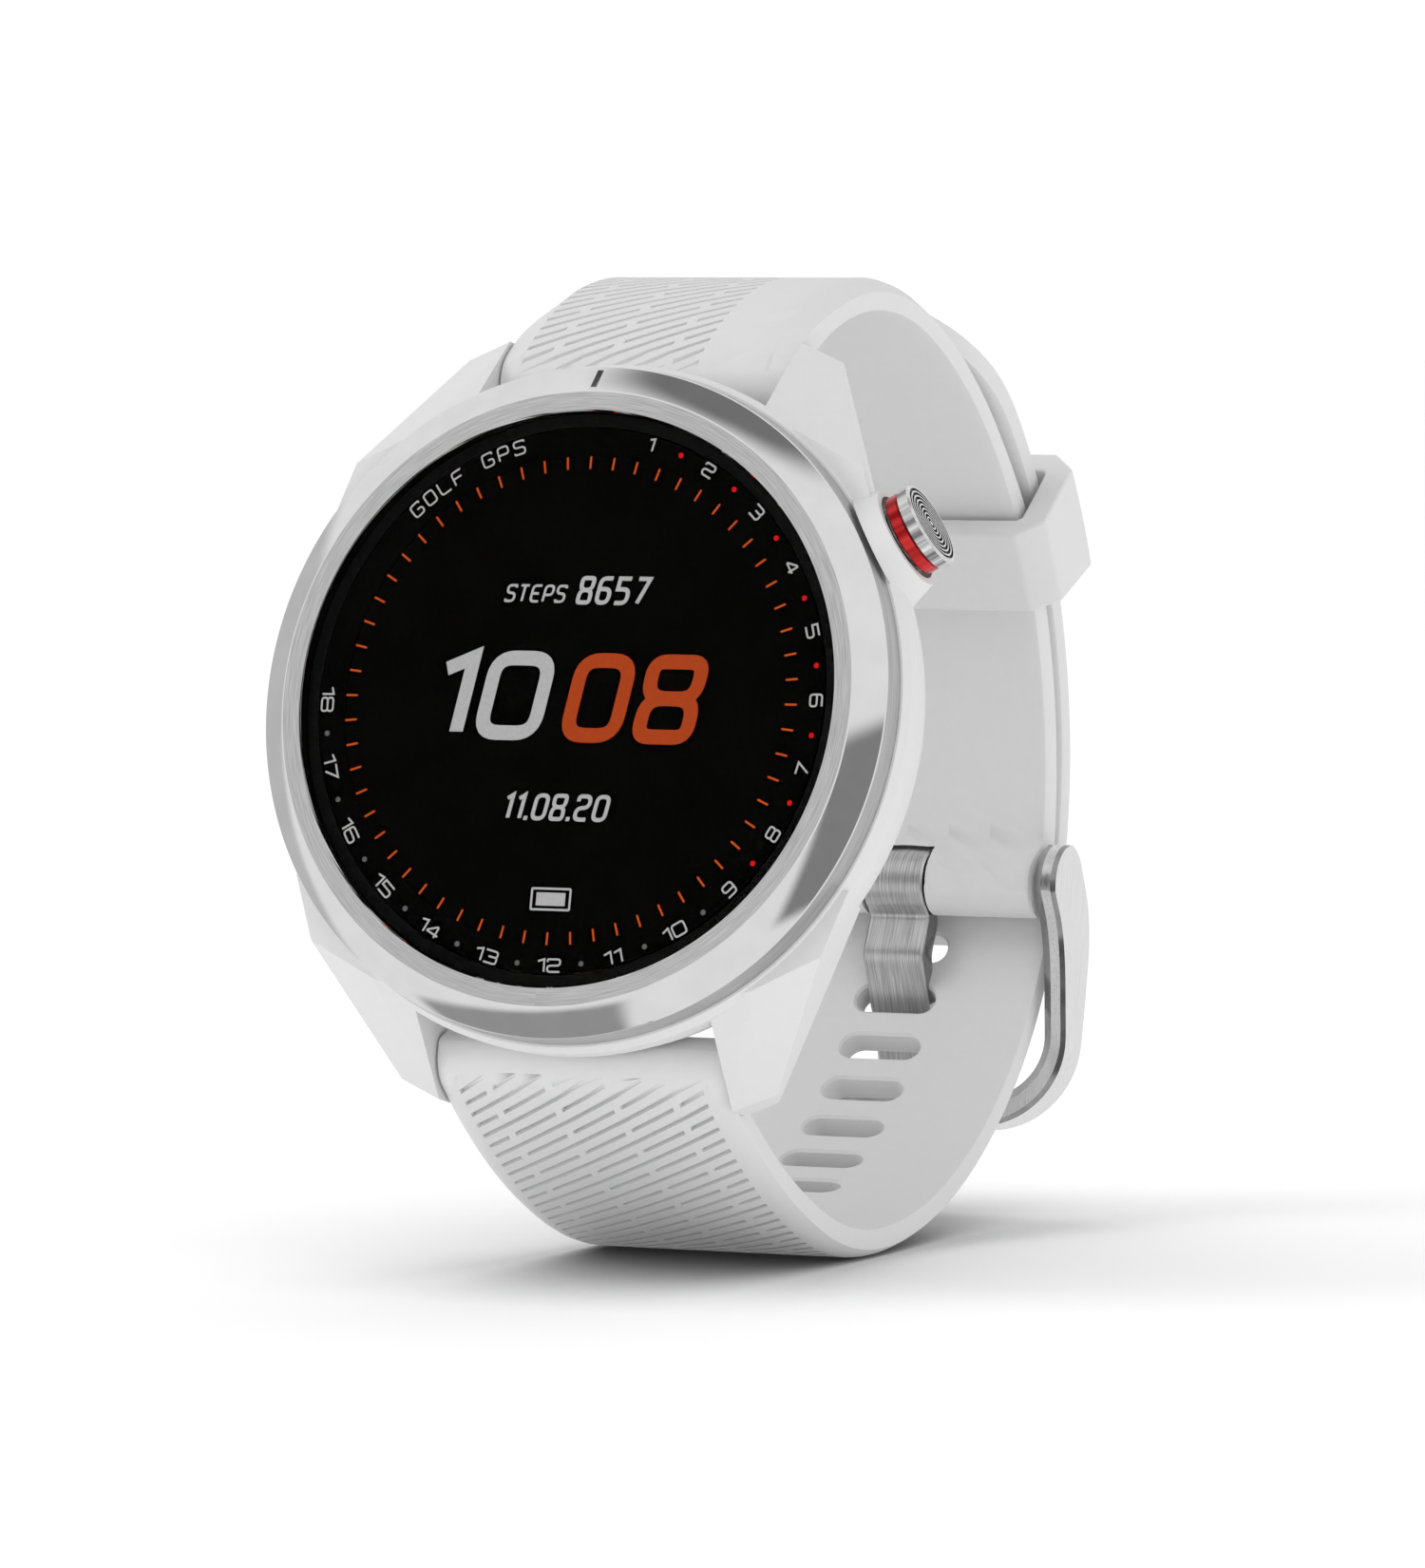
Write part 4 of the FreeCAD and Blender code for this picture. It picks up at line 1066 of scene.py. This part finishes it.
class Ink:
    """Flat print of one colour on the dial, gathered into one mesh."""

    def __init__(self):
        self.points = []
        self.faces = []

    def add(self, points, faces):
        first = len(self.points)
        self.points += [(p[0], INK_Y, p[1]) for p in points]
        self.faces += [tuple(i + first for i in face) for face in faces]

    def text(self, words, height, centre, width, weight, slant=0.0, turn=0.0):
        """Words in a squarish stroke font, set to a width about a centre, slanted and turned."""
        line = height * weight
        advance = np.array([NARROW.get(c, GLYPH_WIDTH) for c in words])
        gap = LETTER_GAP if len(words) > 1 else 0.0
        advance *= (width / height - gap * (len(words) - 1)) / advance.sum()
        x = -width / 2
        for letter, cell in zip(words, advance):
            inner = (cell * height - line, height - line)
            for path in STROKES.get(letter, []):
                shape = rounded([(px * inner[0], py * inner[1] - inner[1] / 2, *sharp)
                                 for px, py, *sharp in path], 0.22 * height)
                shape[:, 0] += x + line / 2
                points, faces = stroke_faces(shape, line)
                points[:, 0] += points[:, 1] * slant
                self.add([self.placed(p, centre, turn) for p in points], faces)
            x += (cell + gap) * height

    @staticmethod
    def placed(p, centre, turn):
        c, s = math.cos(turn), math.sin(turn)
        return centre[0] + p[0] * c + p[1] * s, centre[1] - p[0] * s + p[1] * c

    def dot(self, x, z, radius, count=20):
        turns = np.arange(count) * 2 * math.pi / count
        self.add([(x + radius * math.cos(t), z + radius * math.sin(t)) for t in turns],
                 [tuple(range(count))])

    def bar(self, points, width):
        self.add(*stroke_faces(np.array(points, float), width))

    def piece(self, name, mat):
        """Makes the mesh, with every face turned to the front."""
        obj = add_mesh(name, self.points, self.faces, [mat])
        bm = bmesh.new()
        bm.from_mesh(obj.data)
        front = Vector(to_row([(0, HEAD_BACK - 1, 0)])[0])
        for face in bm.faces:
            if face.normal.dot(front) < 0:
                face.normal_flip()
        bm.to_mesh(obj.data)
        bm.free()
        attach(obj, "case")


def clock(radius, degrees):
    """The point at an angle clockwise from 12 o'clock."""
    turn = math.radians(degrees)
    return radius * math.sin(turn), radius * math.cos(turn)


def hole_number_width(hole):
    if hole == 1:
        return 0.42
    if hole < 10:
        return 0.85
    return 1.25 if hole == 11 else 1.62


def rim_print(white, red, dim):
    """The hole numbers, the dots between them and the generic words at the upper left."""
    for hole in range(1, 19):
        angle = 15 * hole - 1
        turn = math.radians(angle if hole < 7 else angle + 180)
        white.text(str(hole), 0.9, clock(RIM_TEXT, angle), hole_number_width(hole), 0.135, turn=turn)
    for j in range(17):
        ink = red if j < 8 else dim
        ink.dot(*clock(RIM_TEXT, 21.5 + 15 * j), 0.17)
    for i, letter in enumerate("GOLF GPS"):
        angle = 315.5 + 27 * i / 7
        white.text(letter, 0.95, clock(RIM_TEXT, angle), 0.82, 0.12, turn=math.radians(angle))


def battery_mark(ink):
    """A filled bar in a thin frame."""
    corners = [(-1.3, -13.05), (1.3, -13.05), (1.3, -11.75), (-1.3, -11.75), (-1.3, -13.05)]
    for a, b in zip(corners, corners[1:]):
        ink.bar([a, b], 0.14)
    ink.bar([(-0.98, -12.4), (0.98, -12.4)], 0.82)


def dial():
    """Everything lit on the dial: one piece for each colour."""
    white, orange, tick, red, dim = Ink(), Ink(), Ink(), Ink(), Ink()
    for minute in range(60):
        tick.bar([clock(TICK_IN, 6 * minute), clock(TICK_OUT, 6 * minute)], 0.125)
    rim_print(white, red, dim)
    white.text("STEPS", 1.15, (-2.9, 6.6), 4.1, 0.14, slant=SLANT)
    white.text("8657", 1.8, (2.35, 6.85), 4.8, 0.15, slant=SLANT)
    white.text("10", 5.6, (-5.3, 0.2), 7.8, 0.165, slant=TIME_SLANT)
    orange.text("08", 5.6, (4.4, 0.15), 9.0, 0.165, slant=TIME_SLANT)
    white.text("11.08.20", 1.7, (-0.2, -6.7), 7.1, 0.15, slant=SLANT)
    battery_mark(white)
    white.piece("dial_white_print", lit("lit_white", LIT_WHITE))
    orange.piece("dial_orange_digits", lit("lit_orange", LIT_ORANGE))
    tick.piece("dial_minute_ticks", lit("lit_ticks", LIT_TICKS))
    red.piece("dial_red_dots", lit("lit_red", LIT_RED))
    dim.piece("dial_grey_dots", lit("lit_grey", LIT_GREY))


# ---- light, floor and camera ----
def band(tree, value, low, high, soft):
    """1 between two values and 0 outside them, with soft edges."""
    rise = ramp(tree, value, low - soft, low + soft)
    fall = ramp(tree, value, high - soft, high + soft, 1.0, 0.0)
    return maths(tree, "MULTIPLY", rise, fall)


def glossy_surroundings(tree, x, y, z):
    """What glossy surfaces see: white, with dark flags and grey cards placed by direction."""
    rise = maths(tree, "MULTIPLY", maths(tree, "ARCSINE", z), 180 / math.pi)
    side = maths(tree, "MULTIPLY", maths(tree, "ARCTAN2", x, maths(tree, "MULTIPLY", y, -1.0)),
                 180 / math.pi)
    overhead = ramp(tree, rise, 62, 75)
    right_flag = maths(tree, "MULTIPLY", band(tree, side, 25, 70, 3), band(tree, rise, -24, 14, 2.5))
    floor_card = maths(tree, "MULTIPLY", band(tree, side, -63, -11, 3), ramp(tree, rise, -30, -34))
    left_card = maths(tree, "MULTIPLY", band(tree, side, -112, -79, 3), ramp(tree, rise, 27, 22))
    level = 1.0
    for mask, drop in ((overhead, 0.78), (right_flag, 0.72), (floor_card, 0.62), (left_card, 0.35)):
        kept = maths(tree, "SUBTRACT", 1.0, maths(tree, "MULTIPLY", mask, drop))
        level = maths(tree, "MULTIPLY", kept, level)
    return level


def chosen(tree, flag, usual, other):
    """The other level where a ray has the flag, and the usual one elsewhere."""
    mix = tree.nodes.new("ShaderNodeMix")
    link(tree, flag, mix.inputs[0])
    link(tree, usual, mix.inputs[2])
    if isinstance(other, float):
        mix.inputs[3].default_value = other
    else:
        link(tree, other, mix.inputs[3])
    return mix.outputs[0]


def studio_light():
    """A soft white sky, with its own surroundings for gloss and a plain white background."""
    world = bpy.data.worlds.new("studio")
    scene.world = world
    world.use_nodes = True
    tree = world.node_tree
    tree.nodes.clear()
    coords = tree.nodes.new("ShaderNodeTexCoord")
    split = tree.nodes.new("ShaderNodeSeparateXYZ")
    link(tree, coords.outputs["Generated"], split.inputs[0])
    glossy = glossy_surroundings(tree, *split.outputs)
    rays = tree.nodes.new("ShaderNodeLightPath")
    strength = ramp(tree, split.outputs[2], -0.5, 1.0, 1.17, 0.95)
    strength = chosen(tree, rays.outputs["Is Glossy Ray"], strength, glossy)
    strength = chosen(tree, rays.outputs["Is Camera Ray"], strength, 1.4)
    back = tree.nodes.new("ShaderNodeBackground")
    link(tree, strength, back.inputs["Strength"])
    out = tree.nodes.new("ShaderNodeOutputWorld")
    link(tree, back.outputs[0], out.inputs["Surface"])


def floor_paint():
    """A matt white that runs into the background, with a painted contact shadow where the watch stands
    close to it.
    """
    mat = bpy.data.materials.new("pale_floor")
    mat.use_nodes = True
    tree = mat.node_tree
    tree.nodes.clear()
    diffuse = tree.nodes.new("ShaderNodeBsdfDiffuse")
    out = tree.nodes.new("ShaderNodeOutputMaterial")
    # Painted contact shadow: ambient occlusion darkens the floor's colour near the watch.
    near = tree.nodes.new("ShaderNodeAmbientOcclusion")
    near.inputs["Distance"].default_value = 0.08
    contact_shadow_tone = ramp(tree, near.outputs["AO"], 0.0, 0.99, 0.34, 1.27)
    link(tree, combine(tree, contact_shadow_tone, contact_shadow_tone, contact_shadow_tone), diffuse.inputs["Color"])
    link(tree, diffuse.outputs[0], out.inputs["Surface"])
    return mat


def floor():
    """A square of 12 metres under the watch."""
    size = 6.0
    mesh = bpy.data.meshes.new("floor")
    low = cad_box[0][2]
    mesh.from_pydata([(-size, -size, low), (size, -size, low), (size, size, low), (-size, size, low)], [],
                     [(0, 1, 2, 3)])
    obj = bpy.data.objects.new("floor", mesh)
    scene.collection.objects.link(obj)
    mesh.materials.append(floor_paint())
    obj.visible_glossy = False


def area_light(name, place, aim, size, power):
    data = bpy.data.lights.new(name, "AREA")
    data.size = size
    data.energy = power
    obj = bpy.data.objects.new(name, data)
    obj.location = place
    obj.rotation_euler = (Vector(aim) - Vector(place)).to_track_quat("-Z", "Y").to_euler()
    obj.visible_glossy = False
    scene.collection.objects.link(obj)


VIEW_SIDE = math.radians(24.0114)        # towards the watch's right
VIEW_RISE = math.radians(3.2425)
VIEW_ROLL = math.radians(0.0304)
VIEW_PLACE = Vector((0.231937, -0.509468, 0.028316))
LENS = 205.889


def camera():
    """The view: 24 degrees to the watch's right and 3 degrees above."""
    forward = Vector((-math.sin(VIEW_SIDE) * math.cos(VIEW_RISE),
                      math.cos(VIEW_SIDE) * math.cos(VIEW_RISE), -math.sin(VIEW_RISE)))
    level = Vector((math.cos(VIEW_SIDE), math.sin(VIEW_SIDE), 0))
    right = level * math.cos(VIEW_ROLL) + level.cross(forward) * math.sin(VIEW_ROLL)
    data = bpy.data.cameras.new("camera")
    data.lens = LENS
    data.sensor_width = 36.0
    data.sensor_fit = "AUTO"
    data.clip_start = 0.01
    obj = bpy.data.objects.new("camera", data)
    turn = Matrix((right, right.cross(forward), -forward)).transposed()
    obj.matrix_world = Matrix.Translation(VIEW_PLACE) @ turn.to_4x4()
    scene.collection.objects.link(obj)
    bpy.context.scene.camera = obj


finish_cad_nodes()
upper_strap()
lower_strap()
keeper()
buckle_frame()
buckle_tongue()
bezel()
lens()
button_cap()
button_collar()
dial()
studio_light()
floor()
area_light("key", (-0.7, -0.4, 0.6), (0, 0.02, 0), 0.5, 1.3)
camera()
scene.view_settings.view_transform = "Standard"

bpy.context.view_layer.update()
